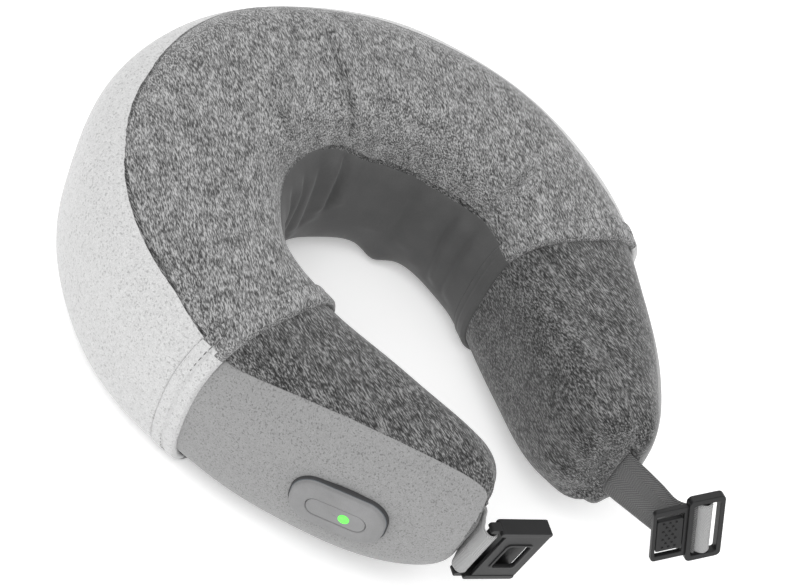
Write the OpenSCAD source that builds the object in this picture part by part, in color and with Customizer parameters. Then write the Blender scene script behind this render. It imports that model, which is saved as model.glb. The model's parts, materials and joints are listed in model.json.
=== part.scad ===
// Shiatsu neck massager: a U-shaped foam pillow with a kneading mechanism at the nape,
// a control pod in the left arm, a battery in the right arm and a strap with a buckle.
// Origin at the middle of the neck opening on the resting plane, +Y towards the nape,
// +Z up. Millimetres.

/* [Pillow] */
// Radius of the pillow's centre line round the back of the neck
neck_r = 100; // [96:1:110]
// Half angle of the round back
wrap_deg = 105; // [100:1:108]
// Radius of the centre line along each arm
arm_r = 345; // [300:5:500]
// Length of the centre line along each arm
arm_len = 134; // [128:1:144]
// Half width of the pillow at the back
back_w = 54; // [52:1:56]
// Half width of the pillow towards the tips
tip_w = 29; // [27:1:33]
// Height at the back
back_h = 100; // [98:1:108]
// Height towards the tips
tip_h = 83; // [78:1:90]
// How far the tips curl up off the resting plane
tip_lift = 17; // [12:1:20]
// Squareness of the section, 2 for an ellipse
squareness = 3.2; // [2.6:0.1:3.6]
// How far the tip sits outwards of the centre line
tip_out = 10; // [0:1:12]
// Part of the half length after which the tip closes
close_from = 0.66; // [0.64:0.01:0.72]
// Part of the half length that the removable sleeve covers
sleeve_end = 0.635; // [0.61:0.005:0.65]

/* [Layers] */
// Thickness of the sleeve's fabric
sleeve_t = 1.2; // [1:0.1:1.4]
// Width of the sleeve's double hem
hem_w = 12; // [8:1:14]
// Depth of the inner cover's face below the sleeve's
cover_d = 2; // [1.9:0.1:2.4]
// Thickness of the inner cover
cover_t = 1; // [0.8:0.1:1.2]
// Depth of the foam below the sleeve's face
foam_d = 3.2; // [3.1:0.1:4]

/* [Mechanism] */
// Number of teeth of each worm wheel, module 1
wheel_teeth = 44; // [44:1:44]
// Distance from the worm's axis to each wheel's axis
centre_d = 27; // [27:1:27]
// Angle that each massage rotor turns in towards the neck
toe_in = 10; // [8:1:12]
// Radius of the circle that the massage heads travel on
orbit_r = 15; // [14:0.5:15]
// Radius of a massage head
head_r = 12.5; // [11:0.5:12.5]
// Radius of the motor
motor_r = 10; // [9:0.5:10]
// Length of the motor's can
motor_len = 22; // [18:1:23]

/* [Control pod] */
// Length of the pod along the arm
pod_len = 45; // [44:1:50]
// Height of the pod
pod_h = 25; // [24:1:28]
// How far the pod stands out of the fabric
pod_proud = 4; // [2:0.5:5]
// Travel of the power key
key_travel = 0.8; // [0.5:0.1:1]

/* [Strap] */
// Width of the webbing
web_w = 30; // [28:1:31]
// Thickness of the webbing
web_t = 1.6; // [1.4:0.1:1.8]
// Width of both buckles over the rails
buckle_w = 38; // [38:1:42]

/* [Hidden] */
$fn = 48;
eps = 0.01;

// ---- The pillow's shape -------------------------------------------------------------
// A station s runs from 0 at the nape to 1 at a tip, negative on the left side.
arc_len = neck_r * wrap_deg * PI / 180;
half_len = arc_len + arm_len;
// The resting face is pressed flat by this much
flat = 1.2;
// How square the tip's end is, seen along the arm
tip_power = 3.2;
// Half size of the opening left at each tip for the strap
slot_w = 4.1;
slot_h = 19;
// Angles round the section, 0 at the outside, 90 on top, 180 at the neck, 270 below
ring = [-56, -50, -34, -17, 0, 17, 34, 50, 56, 72, 86, 100, 120, 140, 160, 173, 187, 200, 220,
        240, 256, 272, 288, 304];
// Where the panels meet: sleeve outer to top, top to neck, neck to bottom, and the arms' own
outer_edge = 56;
top_edge = 160;
neck_edge = 240;
arm_side_edge = 50;
// The top panel is wider on the left arm than on the right arm
left_top_edge = 140;
right_top_edge = 100;
hem_start = sleeve_end - hem_w / half_len;
// Stations of the sleeve, and of an arm under and past it
back_steps = 13;
back_stops = [for (i = [-back_steps : back_steps]) hem_start * i / back_steps];
seam_gap = 0.15 / half_len;
arm_straight = [hem_start + seam_gap, sleeve_end, 0.69, 0.74];
arm_close = [for (a = [26 : 9.143 : 90]) close_from + (1 - close_from) * min(1, sin(a))];
arm_stops = concat(arm_straight, [for (s = arm_close) if (s > 0.76) s], [1]);
foam_tip = 0.985;
foam_stops = concat([for (s = arm_stops) if (s < 0.98) s], [foam_tip]);

function heading(l) = l < arc_len ? l / neck_r * 180 / PI : wrap_deg + (l - arc_len) / arm_r * 180 / PI;
function out_dir(s) = let (a = heading(abs(s) * half_len)) [(s < 0 ? -1 : 1) * sin(a), cos(a)];
function centre_r(s) = let (l = abs(s) * half_len, a = heading(l))
    l < arc_len ? neck_r * [sin(a), cos(a)]
                : (neck_r - arm_r) * [sin(wrap_deg), cos(wrap_deg)] + arm_r * [sin(a), cos(a)];
function centre(s) = let (c = centre_r(s)) [(s < 0 ? -1 : 1) * c[0], c[1]];
function closing(s) = let (e = max(0, (abs(s) - close_from) / (1 - close_from)))
    pow(max(0, 1 - pow(min(e, 1), tip_power)), 1 / tip_power);
function full_w(s) = back_w - (back_w - tip_w) * pow(abs(s), 1.65);
function full_h(s) = (tip_h + (back_h - tip_h) * pow(1 - s * s, 2)) / 2;
function half_w(s) = slot_w + (full_w(s) - slot_w) * closing(s);
function half_h(s) = slot_h + (full_h(s) - slot_h) * closing(s);
function lift(s) = tip_lift * pow(max(0, (abs(s) - 0.5) / 0.5), 2);
function mid_x(s) = tip_out * (1 - closing(s));
function mid_z(s) = full_h(s) + lift(s) - flat;
function bulge(c) = sign(c) * pow(abs(c), 2 / squareness);
// A point of the pillow, x outwards from the centre line and z up from the resting plane
function spot(s, x, z) = let (c = centre(s), n = out_dir(s)) [c[0] + n[0] * x, c[1] + n[1] * x, z];
// A point of the skin at station s and angle t, d deep
function skin(s, t, d) = spot(s, mid_x(s) + (half_w(s) - d) * bulge(cos(t)),
                              max(mid_z(s) + (half_h(s) - d) * bulge(sin(t)), d, 0));

// ---- Solids made from grids of points -----------------------------------------------
// Faces of a sheet of rows by cols points, seen from outside, or from inside when flipped
function sheet_faces(rows, cols, first, flip) = [
    for (i = [0 : rows - 2]) for (j = [0 : cols - 2]) for (h = [0, 1])
        let (a = first + i * cols + j, b = a + cols, c = b + 1, d = a + 1)
        let (f = h == 0 ? [a, b, c] : [a, c, d]) flip ? [f[2], f[1], f[0]] : f];
// Faces of a tube of rows rings with cols points each
function tube_faces(rows, cols, first, flip) = [
    for (i = [0 : rows - 2]) for (j = [0 : cols - 1]) for (h = [0, 1])
        let (a = first + i * cols + j, b = a + cols, d = first + i * cols + (j + 1) % cols, c = d + cols)
        let (f = h == 0 ? [a, b, c] : [a, c, d]) flip ? [f[2], f[1], f[0]] : f];
// Faces of a tube closed by a flat end at each side
function solid_faces(rows, cols) = concat(
    tube_faces(rows, cols, 0, false),
    [[for (j = [0 : cols - 1]) j]], [[for (j = [cols - 1 : -1 : 0]) (rows - 1) * cols + j]]);
// Faces that join the edges of two sheets
function rim_faces(edge, other) = [
    for (i = [0 : len(edge) - 2]) for (h = [0, 1])
        h == 0 ? [edge[i], other[i], other[i + 1]] : [edge[i], other[i + 1], edge[i + 1]]];

// A panel of fabric between two depths, over the given stations and angles
module panel(stops, angles, d_out, d_in) {
    m = len(stops);
    n = len(angles);
    outer = [for (s = stops) for (t = angles) skin(s, t, d_out)];
    inner = [for (s = stops) for (t = angles) skin(s, t, d_in)];
    up = [for (i = [0 : m - 1]) i * n];
    down = [for (i = [0 : m - 1]) i * n + n - 1];
    front = [for (j = [0 : n - 1]) j];
    back = [for (j = [0 : n - 1]) (m - 1) * n + j];
    polyhedron(concat(outer, inner), concat(
        sheet_faces(m, n, 0, false), sheet_faces(m, n, m * n, true),
        rim_faces(up, [for (i = up) i + m * n]), rim_faces([for (i = down) i + m * n], down),
        rim_faces([for (j = front) j + m * n], front), rim_faces(back, [for (j = back) j + m * n])));
}

// A closed ring of fabric round the section
module tube_panel(stops, d_out, d_in) {
    m = len(stops);
    angles = [for (t = ring) if (t < 304) t];
    n = len(angles);
    outer = [for (s = stops) for (t = angles) skin(s, t, d_out)];
    inner = [for (s = stops) for (t = angles) skin(s, t, d_in)];
    front = [for (j = [0 : n]) j % n];
    back = [for (j = [0 : n]) (m - 1) * n + j % n];
    polyhedron(concat(outer, inner), concat(
        tube_faces(m, n, 0, false), tube_faces(m, n, m * n, true),
        rim_faces([for (j = front) j + m * n], front), rim_faces(back, [for (j = back) j + m * n])));
}

// A solid block with flat ends, such as foam
module block(stops, d) {
    m = len(stops);
    angles = [for (t = ring) if (t < 304) t];
    n = len(angles);
    polyhedron([for (s = stops) for (t = angles) skin(s, t, d)], solid_faces(m, n));
}

// A round lead: each stop is [station, x outwards, z], with an eight-sided section
module lead(stops, r) {
    polyhedron([for (p = stops) for (j = [0 : 7]) spot(p[0], p[1] + r * cos(45 * j), p[2] + r * sin(45 * j))],
               solid_faces(len(stops), 8));
}

function unit(v) = v / norm(v);
// Frame from a place, a direction along x and one that y leans to
module at_frame(p, along, across) {
    x = unit(along);
    z = unit(cross(x, across));
    y = cross(z, x);
    multmatrix([[x[0], y[0], z[0], p[0]], [x[1], y[1], z[1], p[1]], [x[2], y[2], z[2], p[2]]]) children();
}

function between(low, high) = [for (t = ring) if (t >= low && t <= high) t];
function mirrored(stops) = [for (i = [len(stops) - 1 : -1 : 0]) -stops[i]];
function side_of(stops, side) = side > 0 ? stops : mirrored(stops);

// ---- Removable sleeve -----------------------------------------------------------------
module sleeve_outer_panel() {
    color("gainsboro") panel(back_stops, between(-56, outer_edge), 0, sleeve_t);
}

module sleeve_top_panel() {
    color("gray") panel(back_stops, between(outer_edge, top_edge), 0, sleeve_t);
}

module sleeve_neck_panel() {
    color("dimgray") panel(back_stops, between(top_edge, neck_edge), 0, sleeve_t);
}

module sleeve_bottom_panel() {
    color("gray") panel(back_stops, between(neck_edge, 304), 0, sleeve_t);
}

// The double-folded end of the sleeve, a little proud of it
hem_proud = 0.5;
module sleeve_hem(side) {
    gap = 0.1 / half_len;
    color("lightgray") tube_panel(side_of([hem_start + gap, (hem_start + sleeve_end) / 2, sleeve_end], side),
                                  -hem_proud, cover_d - 0.2);
}

// ---- Inner cover ------------------------------------------------------------------------
module base_cover_middle() {
    color("dimgray") tube_panel(back_stops, sleeve_t + 0.2, sleeve_t + 0.2 + cover_t);
}

module arm_panel(side, low, high) {
    panel(side_of(arm_stops, side), between(low, high), cover_d, cover_d + cover_t);
}

module left_arm_side_panel() {
    color("darkgray") difference() {
        arm_panel(-1, -arm_side_edge, arm_side_edge);
        at_pod() translate([0, 0, -15]) linear_extrude(30) pod_outline(0.3);
    }
}

module left_arm_top_panel() {
    color("dimgray") arm_panel(-1, arm_side_edge, left_top_edge);
}

module left_arm_inner_panel() {
    color("dimgray") panel(side_of(arm_stops, -1), concat(between(left_top_edge, 304), [310]),
                           cover_d, cover_d + cover_t);
}

module right_arm_side_panel() {
    color("darkgray") difference() {
        arm_panel(1, -arm_side_edge, arm_side_edge);
        at_port() translate([0, 0, -6]) linear_extrude(12) slot(port_w + 0.6, port_h + 0.6);
    }
}

module right_arm_top_panel() {
    color("dimgray") arm_panel(1, arm_side_edge, right_top_edge);
}

module right_arm_inner_panel() {
    color("dimgray") panel(side_of(arm_stops, 1), concat(between(right_top_edge, 304), [310]),
                           cover_d, cover_d + cover_t);
}

// ---- Foam ---------------------------------------------------------------------------------
module foam_back() {
    color("lightyellow") difference() {
        block(back_stops, foam_d);
        chamber();
        translate([0, worm_y, motor_bottom - 1]) cylinder(r = motor_r + 2, h = 40);
    }
}

// Room for the mechanism, open towards the neck
module chamber() {
    side = [[50, 34], [53, 64], [61, 78], [63, 106], [40, 121]];
    outline = concat(side, [for (i = [len(side) - 1 : -1 : 0]) [-side[i][0], side[i][1]]]);
    translate([0, 0, mech_z - 31]) linear_extrude(62) polygon(outline);
}

module foam_arm_left() {
    color("lightyellow") difference() {
        block(side_of(foam_stops, -1), foam_d);
        at_pod() translate([0, 0, -tray_depth - 1]) linear_extrude(60) pod_outline(2.6);
    }
}

module foam_arm_right() {
    color("lightyellow") difference() {
        block(side_of(foam_stops, 1), foam_d);
        at_battery() cube([case_l + 2, case_w + 2, case_h + 2], center = true);
        at_port() translate([0, 0, -16]) linear_extrude(30) slot(port_w + 10, port_h + 8);
    }
}

// ---- Kneading mechanism -------------------------------------------------------------------
worm_y = neck_r;
mech_z = back_h / 2;
wheel_r = wheel_teeth / 2;
wheel_t = 8;
worm_lead = PI;
worm_core = 3.8;
worm_tip = 5.9;
worm_half = 9;
shaft_r = 3;
run_fit = 0.05;
case_depth = 11;
case_wall = 2.5;
case_r = wheel_r + 2 + case_wall;
worm_room = 7.5;
motor_top = mech_z - 18;
motor_bottom = motor_top - motor_len - 3;
arm_from = 15;
arm_thick = 5;
pin_r = 2.5;
pin_tip = 41;
head_from = 21;
head_tip = 46;

// Frame at a worm wheel's centre: x sideways, y up, z towards the neck
module along_neck(side) {
    translate([0, worm_y, mech_z]) rotate([0, 0, -side * toe_in]) translate([side * centre_d, 0, 0])
        rotate([90, 0, 0]) children();
}

// Half of the space on one side of the middle, ahead of or behind the wheels' plane
module case_mask(side, front) {
    size = 120;
    intersection() {
        along_neck(side) translate([-size, -size, front ? 0 : -size]) cube([2 * size, 2 * size, size]);
        translate([side > 0 ? 0 : -size, 0, -size]) cube([size, 3 * size, 4 * size]);
    }
}

module gear_case() {
    difference() {
        union() {
            for (side = [-1, 1]) along_neck(side) {
                translate([0, 0, -case_depth]) cylinder(r = case_r, h = 2 * case_depth);
                case_lugs(side) cylinder(r = 4, h = 2 * case_depth, center = true);
                cylinder(r = 7, h = case_depth + 3);
            }
            translate([0, worm_y, motor_top - 4]) cylinder(r = motor_r + case_wall, h = 36.5);
        }
        for (side = [-1, 1]) along_neck(side) {
            translate([0, 0, case_wall - case_depth]) cylinder(r = wheel_r + 2, h = 2 * (case_depth - case_wall));
            cylinder(r = bush_r, h = 60, center = true);
            case_lugs(side) cylinder(r = 1.3, h = 60, center = true);
        }
        translate([0, worm_y, mech_z - 18 + eps]) cylinder(r = worm_room, h = 30);
        translate([0, worm_y, motor_top - 10]) cylinder(r = motor_r + run_fit, h = 10);
        translate([0, worm_y, motor_top - 1]) cylinder(r = 4, h = 3);
        translate([0, worm_y, mech_z + 11]) cylinder(r = bearing_r, h = 10);
    }
}

module case_lugs(side) {
    for (a = [-50, 50]) translate([side * cos(a) * (case_r + 2), sin(a) * (case_r + 2), 0]) children();
}

bush_r = 5;
bearing_r = 6;
bearing_t = 3;

module gear_housing_front() {
    color("slategray") for (side = [-1, 1]) intersection() {
        gear_case();
        case_mask(side, true);
    }
}

module gear_housing_rear() {
    color("slategray") for (side = [-1, 1]) intersection() {
        gear_case();
        case_mask(side, false);
    }
}

module housing_screws() {
    color("silver") for (side = [-1, 1]) along_neck(side) case_lugs(side) {
        translate([0, 0, -case_depth]) cylinder(r = 1.3, h = 2 * case_depth - 2);
        translate([0, 0, -case_depth - 1.8]) cylinder(r = 2.5, h = 1.8);
    }
}

module motor_can() {
    color("silver") translate([0, worm_y, motor_top - motor_len]) difference() {
        cylinder(r = motor_r, h = motor_len);
        translate([0, 0, -1]) cylinder(r = motor_r - 1, h = motor_len);
        cylinder(r = 1 + run_fit, h = motor_len + 1);
    }
}

module motor_end_cap() {
    color("ivory") translate([0, worm_y, motor_top - motor_len]) {
        translate([0, 0, -3]) cylinder(r = motor_r - 0.5, h = 3);
        for (a = [0, 180]) rotate([0, 0, a]) translate([5, -1.5, -3]) cube([0.8, 3, 6]);
    }
}

// The shaft carries the armature inside the can
module motor_shaft() {
    color("silver") translate([0, worm_y, 0]) {
        translate([0, 0, motor_top - motor_len + 1]) cylinder(r = 1, h = motor_len - 1 + mech_z + 14 - motor_top);
        translate([0, 0, motor_top - motor_len + 5]) cylinder(r = motor_r - 2, h = 14);
    }
}

// A right-hand single-start worm whose thread crosses the wheels' plane at mid height
module worm() {
    color("goldenrod") translate([0, worm_y, mech_z]) difference() {
        union() {
            translate([0, 0, -worm_half - 2]) cylinder(r = worm_core, h = 2 * worm_half + 4);
            worm_thread();
        }
        cylinder(r = 1, h = 40, center = true);
    }
}

module worm_thread() {
    step = 20;
    turns = floor(2 * worm_half / worm_lead) - 1;
    rings = turns * 360 / step;
    root = worm_core - 0.5;
    w_root = 0.97;
    w_tip = 0.2;
    section = [[root, w_root], [worm_tip, w_tip], [worm_tip, -w_tip], [root, -w_root]];
    points = [for (i = [0 : rings]) for (q = section)
        let (a = (i - rings / 2) * step) [q[0] * cos(a), q[0] * sin(a), q[1] + worm_lead * a / 360]];
    polyhedron(points, solid_faces(rings + 1, 4));
}

module worm_bearing() {
    color("silver") translate([0, worm_y, mech_z + 11]) difference() {
        cylinder(r = bearing_r, h = bearing_t);
        translate([0, 0, -1]) cylinder(r = 1 + run_fit, h = bearing_t + 2);
    }
}

// Tooth outline of a worm wheel; shift turns it by that part of a tooth
module wheel_outline(shift) {
    pitch = 360 / wheel_teeth;
    corners = [[wheel_r - 1.3, -3.2], [wheel_r + 0.95, -1], [wheel_r + 0.95, 1], [wheel_r - 1.3, 3.2]];
    polygon([for (i = [0 : wheel_teeth - 1]) for (q = corners)
        q[0] * [cos((i + shift) * pitch + q[1]), sin((i + shift) * pitch + q[1])]]);
}

module worm_wheel(side) {
    // The worm's thread meets a gap of the right wheel and, half a turn on, one of the left wheel
    shift = side > 0 ? 0.5 : 0;
    color("ivory") along_neck(side) difference() {
        union() {
            translate([0, 0, -wheel_t / 2]) linear_extrude(wheel_t) wheel_outline(shift);
            cylinder(r = 6, h = 14, center = true);
        }
        cylinder(r = shaft_r, h = 40, center = true);
    }
}

module output_shaft(side) {
    color("silver") along_neck(side) translate([0, 0, -case_depth]) cylinder(r = shaft_r, h = case_depth + arm_from + arm_thick);
}

module shaft_bushes() {
    color("peru") for (side = [-1, 1]) along_neck(side) for (z = [[-case_depth, case_wall + 1], [7.5, case_depth + 3 - 7.5]])
        translate([0, 0, z[0]]) difference() {
            cylinder(r = bush_r, h = z[1]);
            translate([0, 0, -1]) cylinder(r = shaft_r + run_fit, h = z[1] + 2);
        }
}

// The right rotor rests level and the left one upright, so that the heads pass each other
function rotor_rest(side) = side > 0 ? 0 : 90;

module kneading_arm(side) {
    color("darkslategray") along_neck(side) rotate([0, 0, rotor_rest(side)]) translate([0, 0, arm_from])
        difference() {
            union() {
                translate([-orbit_r, -4, 0]) cube([2 * orbit_r, 8, arm_thick]);
                for (x = [-orbit_r, orbit_r]) translate([x, 0, 0]) cylinder(r = 5, h = arm_thick);
                cylinder(r = 7, h = arm_thick);
            }
            translate([0, 0, -1]) cylinder(r = shaft_r, h = arm_thick + 2);
            for (x = [-orbit_r, orbit_r]) translate([x, 0, -1]) cylinder(r = pin_r, h = arm_thick + 2);
        }
}

// Each pin has a snap collar that holds its head
collar_z = 31;
collar_t = 2;
module head_pins(side) {
    color("silver") along_neck(side) rotate([0, 0, rotor_rest(side)]) for (x = [-orbit_r, orbit_r])
        translate([x, 0, 0]) {
            translate([0, 0, arm_from]) cylinder(r = pin_r, h = pin_tip - arm_from);
            translate([0, 0, collar_z]) cylinder(r = pin_r + 0.6, h = collar_t);
        }
}

module massage_head(side, end) {
    color("steelblue") along_neck(side) rotate([0, 0, rotor_rest(side)]) translate([end * orbit_r, 0, 0])
        difference() {
            union() {
                translate([0, 0, head_from]) cylinder(r = head_r, h = head_tip - head_r - head_from);
                translate([0, 0, head_tip - head_r]) sphere(r = head_r);
            }
            translate([0, 0, -1]) cylinder(r = pin_r + run_fit, h = pin_tip + 1.5);
            translate([0, 0, collar_z - 0.2]) cylinder(r = pin_r + 0.65, h = collar_t + 0.4);
        }
}

// ---- Control pod ----------------------------------------------------------------------------
pod_s = -0.84;
tray_depth = 14;
tray_wall = 1.5;
key_l = 28;
key_h = 10;
key_gap = 0.3;

// Frame on the outside of the left arm: x towards the tip, y up, z outwards
module at_pod() {
    run = 0.07;
    at_frame(skin(pod_s, 0, 0), skin(pod_s - run, 0, 0) - skin(pod_s + run, 0, 0), [0, 0, 1]) children();
}

module rounded(l, h, r) {
    square([l - 2 * r, h], center = true);
    square([l, h - 2 * r], center = true);
    for (x = [-1, 1]) for (y = [-1, 1]) translate([x * (l / 2 - r), y * (h / 2 - r)]) circle(r);
}

module slot(l, h) {
    square([l - h, h], center = true);
    for (x = [-1, 1]) translate([x * (l - h) / 2, 0]) circle(h / 2);
}

module pod_outline(grow) {
    rounded(pod_len + 2 * grow, pod_h + 2 * grow, 11 + grow);
}

// An open tray whose rim carries the pad
module control_housing() {
    color("dimgray") at_pod() difference() {
        translate([0, 0, -tray_depth]) linear_extrude(tray_depth + 0.5) pod_outline(0);
        translate([0, 0, tray_wall - tray_depth]) linear_extrude(40) pod_outline(-tray_wall);
        translate([-pod_len / 2, 0, -9]) cube([8, 10, 4], center = true);
        for (x = [-16, 16]) translate([x, 0, -tray_depth - 1]) cylinder(r = 1, h = 6);
    }
}

// The soft pad, with a window for the key
module control_pad() {
    color("gray") at_pod() difference() {
        union() {
            translate([0, 0, 0.5]) linear_extrude(pod_proud - 1.7) pod_outline(0);
            translate([0, 0, pod_proud - 1.2]) linear_extrude(0.7) pod_outline(-0.5);
            translate([0, 0, pod_proud - 0.5]) linear_extrude(0.5) pod_outline(-1.4);
        }
        translate([0, 0, -1]) linear_extrude(20) slot(key_l + 2 * key_gap, key_h + 2 * key_gap);
    }
}

// The status lens stands in the key, towards the tip
lens_x = 4;
lens_r = 2.6;
module power_key() {
    color("gray") at_pod() difference() {
        union() {
            translate([0, 0, 0.6]) linear_extrude(pod_proud - 0.6) slot(key_l, key_h);
            translate([0, 0, -3.4]) cylinder(r = 2.2, h = 4.2);
            translate([0, 0, -1.2]) linear_extrude(1.4) slot(key_l + 3, key_h + 3);
            translate([0, 0, 0]) linear_extrude(1) slot(key_l - 1, key_h - 1);
        }
        translate([lens_x, 0, pod_proud - 1.5]) cylinder(r = lens_r, h = 3);
    }
}

module status_lens() {
    color("lime") at_pod() translate([lens_x, 0, pod_proud - 1.5]) cylinder(r = lens_r, h = 1.6);
}

board_z = -8.5;
module control_board() {
    color("darkgreen") at_pod() difference() {
        translate([0, 0, board_z]) linear_extrude(1.2) pod_outline(-tray_wall - 0.5);
        for (x = [-16, 16]) translate([x, 0, board_z - 1]) cylinder(r = 1.2, h = 4);
    }
}

// Its plunger gives way as the key comes down
module tact_switch() {
    color("black") at_pod() {
        translate([-3, -3, board_z + 1.2]) cube([6, 6, 2.2]);
        translate([0, 0, board_z + 3.4]) cylinder(r = 1.5, h = 0.6);
    }
}

module control_screws() {
    color("silver") at_pod() for (x = [-16, 16]) translate([x, 0, 0]) {
        translate([0, 0, -tray_depth + 0.2]) cylinder(r = 1, h = tray_depth + board_z + 1.2);
        translate([0, 0, board_z + 1.2]) cylinder(r = 2, h = 1.2);
    }
}

// ---- Battery and charging -------------------------------------------------------------------
battery_s = 0.72;
cell_r = 9.2;
cell_l = 65.2;
case_l = 72;
case_w = 24;
case_h = 44;
case_t = 1.6;

// Frame at the battery: x along the arm, y outwards, z up
module at_battery() {
    n = out_dir(battery_s);
    c = spot(battery_s, -6, mid_z(battery_s));
    multmatrix([[n[1], n[0], 0, c[0]], [-n[0], n[1], 0, c[1]], [0, 0, 1, c[2]]]) children();
}

module battery_cells() {
    color("royalblue") at_battery() for (z = [-10, 10]) translate([-cell_l / 2, 0, z]) rotate([0, 90, 0])
        cylinder(r = cell_r, h = cell_l);
}

module battery_case() {
    color("dimgray") at_battery() difference() {
        cube([case_l, case_w, case_h], center = true);
        translate([0, case_t, 0]) cube([case_l - 2 * case_t, case_w, case_h - 2 * case_t], center = true);
    }
}

module battery_lid() {
    color("gray") at_battery() translate([0, case_w / 2 - case_t / 2 - 0.1, 0])
        cube([case_l - 2 * case_t - 0.2, case_t, case_h - 2 * case_t - 0.2], center = true);
}

port_s = 0.86;
port_w = 14;
port_h = 8;

// Frame on the outside of the right arm: x away from the tip, y up, z outwards
module at_port() {
    run = 0.04;
    at_frame(skin(port_s, -10, cover_d), skin(port_s - run, -10, 0) - skin(port_s + run, -10, 0), [0, 0, 1])
        children();
}

module charge_bezel() {
    color("gray") at_port() difference() {
        union() {
            translate([0, 0, -11]) linear_extrude(12) slot(port_w, port_h);
            translate([0, 0, -3.8]) linear_extrude(1.4) slot(port_w + 4, port_h + 4);
        }
        translate([0, 0, -14]) linear_extrude(20) slot(9.4, 3.7);
    }
}

module charge_socket() {
    color("silver") at_port() difference() {
        translate([0, 0, -10]) linear_extrude(10) slot(9.2, 3.5);
        translate([0, 0, -8.5]) linear_extrude(12) slot(8.4, 2.7);
    }
}

module charge_board() {
    color("darkgreen") at_port() translate([-8, -6, -12.7]) cube([16, 12, 1.2]);
}

// ---- Wiring -----------------------------------------------------------------------------------
wire_r = 1.5;
harness_route = [[-0.771, 28.6, 48.8], [-0.755, 28, 48.8], [-0.72, 24, 49], [-0.66, 24, 50], [-0.6, 25, 50],
                 [-0.52, 27, 50], [-0.44, 29, 50], [-0.36, 31, 50], [-0.28, 32, 50], [-0.2, 33, 50],
                 [-0.12, 34, 50], [-0.04, 34, 50], [0.04, 34, 50], [0.12, 34, 50], [0.2, 33, 50],
                 [0.28, 32, 50], [0.36, 31, 50], [0.44, 28, 50], [0.5, 20, 50], [0.55, 8, 49],
                 [0.59, -4, 48], [0.604, -6, 48]];
motor_route = [[-0.771, 28.6, 44.6], [-0.755, 28, 44.4], [-0.72, 23, 42], [-0.66, 21, 36], [-0.6, 20, 30],
               [-0.52, 21, 24], [-0.44, 22, 19], [-0.36, 24, 16], [-0.28, 25, 13], [-0.2, 25, 11],
               [-0.12, 22, 9], [-0.06, 16, 9], [-0.03, 11.5, 9], [-0.02, 9.8, 9]];

module wiring_harness() {
    color("black") lead(harness_route, wire_r);
}

module motor_lead() {
    color("firebrick") lead(motor_route, wire_r);
}

// ---- Strap ------------------------------------------------------------------------------------
// Each strap end turns about an upright line just outside the tip
hinge_out = 1.6;
function tip_dir(side) = let (n = out_dir(side)) [side * n[1], -side * n[0], 0];
function tip_at(side, out) = spot(side, tip_out, mid_z(side)) + out * tip_dir(side);

// A ribbon through frames given as [middle, across] with unit vectors across
module ribbon(line, w, t) {
    m = len(line);
    along = [for (i = [0 : m - 1]) unit(line[min(i + 1, m - 1)][0] - line[max(i - 1, 0)][0])];
    points = [for (i = [0 : m - 1]) let (p = line[i][0], y = unit(line[i][1]), z = unit(cross(along[i], y)))
        for (q = [[-w / 2, -t / 2], [w / 2, -t / 2], [w / 2, t / 2], [-w / 2, t / 2]]) p + q[0] * y + q[1] * z];
    polyhedron(points, solid_faces(m, 4));
}

module strap_anchor(side) {
    p = tip_at(side, -3.2);
    q = tip_at(side, hinge_out - web_t / 2 - 0.4);
    ribbon([[p, [0, 0, 1]], [q, [0, 0, 1]]], web_w, web_t);
}

// Middle of each buckle's bar, the direction along the buckle and the one along its bar
left_bar = [-46.5, -160.5, 51];
left_along = [0.956, -0.27, -0.114];
left_across = [-0.1, 0, 0.98];
right_bar = [67.5, -193.5, 59.5];
right_along = [0.905, -0.287, 0.312];
right_across = [-0.205, 0.348, 0.914];
bar_r = 1.8;
loop_in = bar_r + 0.3;
loop_out = loop_in + web_t;
web_steps = 8;
// The fold and the hinge line are this much wider and thicker than the webbing between them
web_bead = 0.3;

// Webbing from the hinge line at the tip to a fold round the buckle's bar
module strap(side, bar, along, across) {
    a = tip_at(side, hinge_out);
    y = unit(cross(cross(along, across), along));
    reach = a - bar;
    b = bar + unit(reach - (reach * y) * y) * (loop_in + web_t / 2);
    line = [for (i = [0 : web_steps]) let (f = i / web_steps) [a + f * (b - a), (1 - f) * [0, 0, 1] + f * y]];
    ribbon(line, web_w, web_t);
    translate(a) cylinder(r = web_t / 2 + web_bead / 3, h = web_w + 2 * web_bead, center = true);
}

// The fold round a bar that lies along y
module strap_loop() {
    rotate([90, 0, 0]) difference() {
        cylinder(r = loop_out, h = web_w + 2 * web_bead, center = true);
        cylinder(r = loop_in, h = web_w + 2, center = true);
    }
}

module left_strap() {
    color("silver") {
        strap(-1, left_bar, left_along, left_across);
        at_frame(left_bar, left_along, left_across) strap_loop();
    }
}

module right_strap() {
    color("dimgray") {
        strap(1, right_bar, right_along, right_across);
        at_frame(right_bar, right_along, right_across) strap_loop();
    }
}

module bar() {
    rotate([90, 0, 0]) cylinder(r = bar_r, h = buckle_w - 2, center = true);
}

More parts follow.
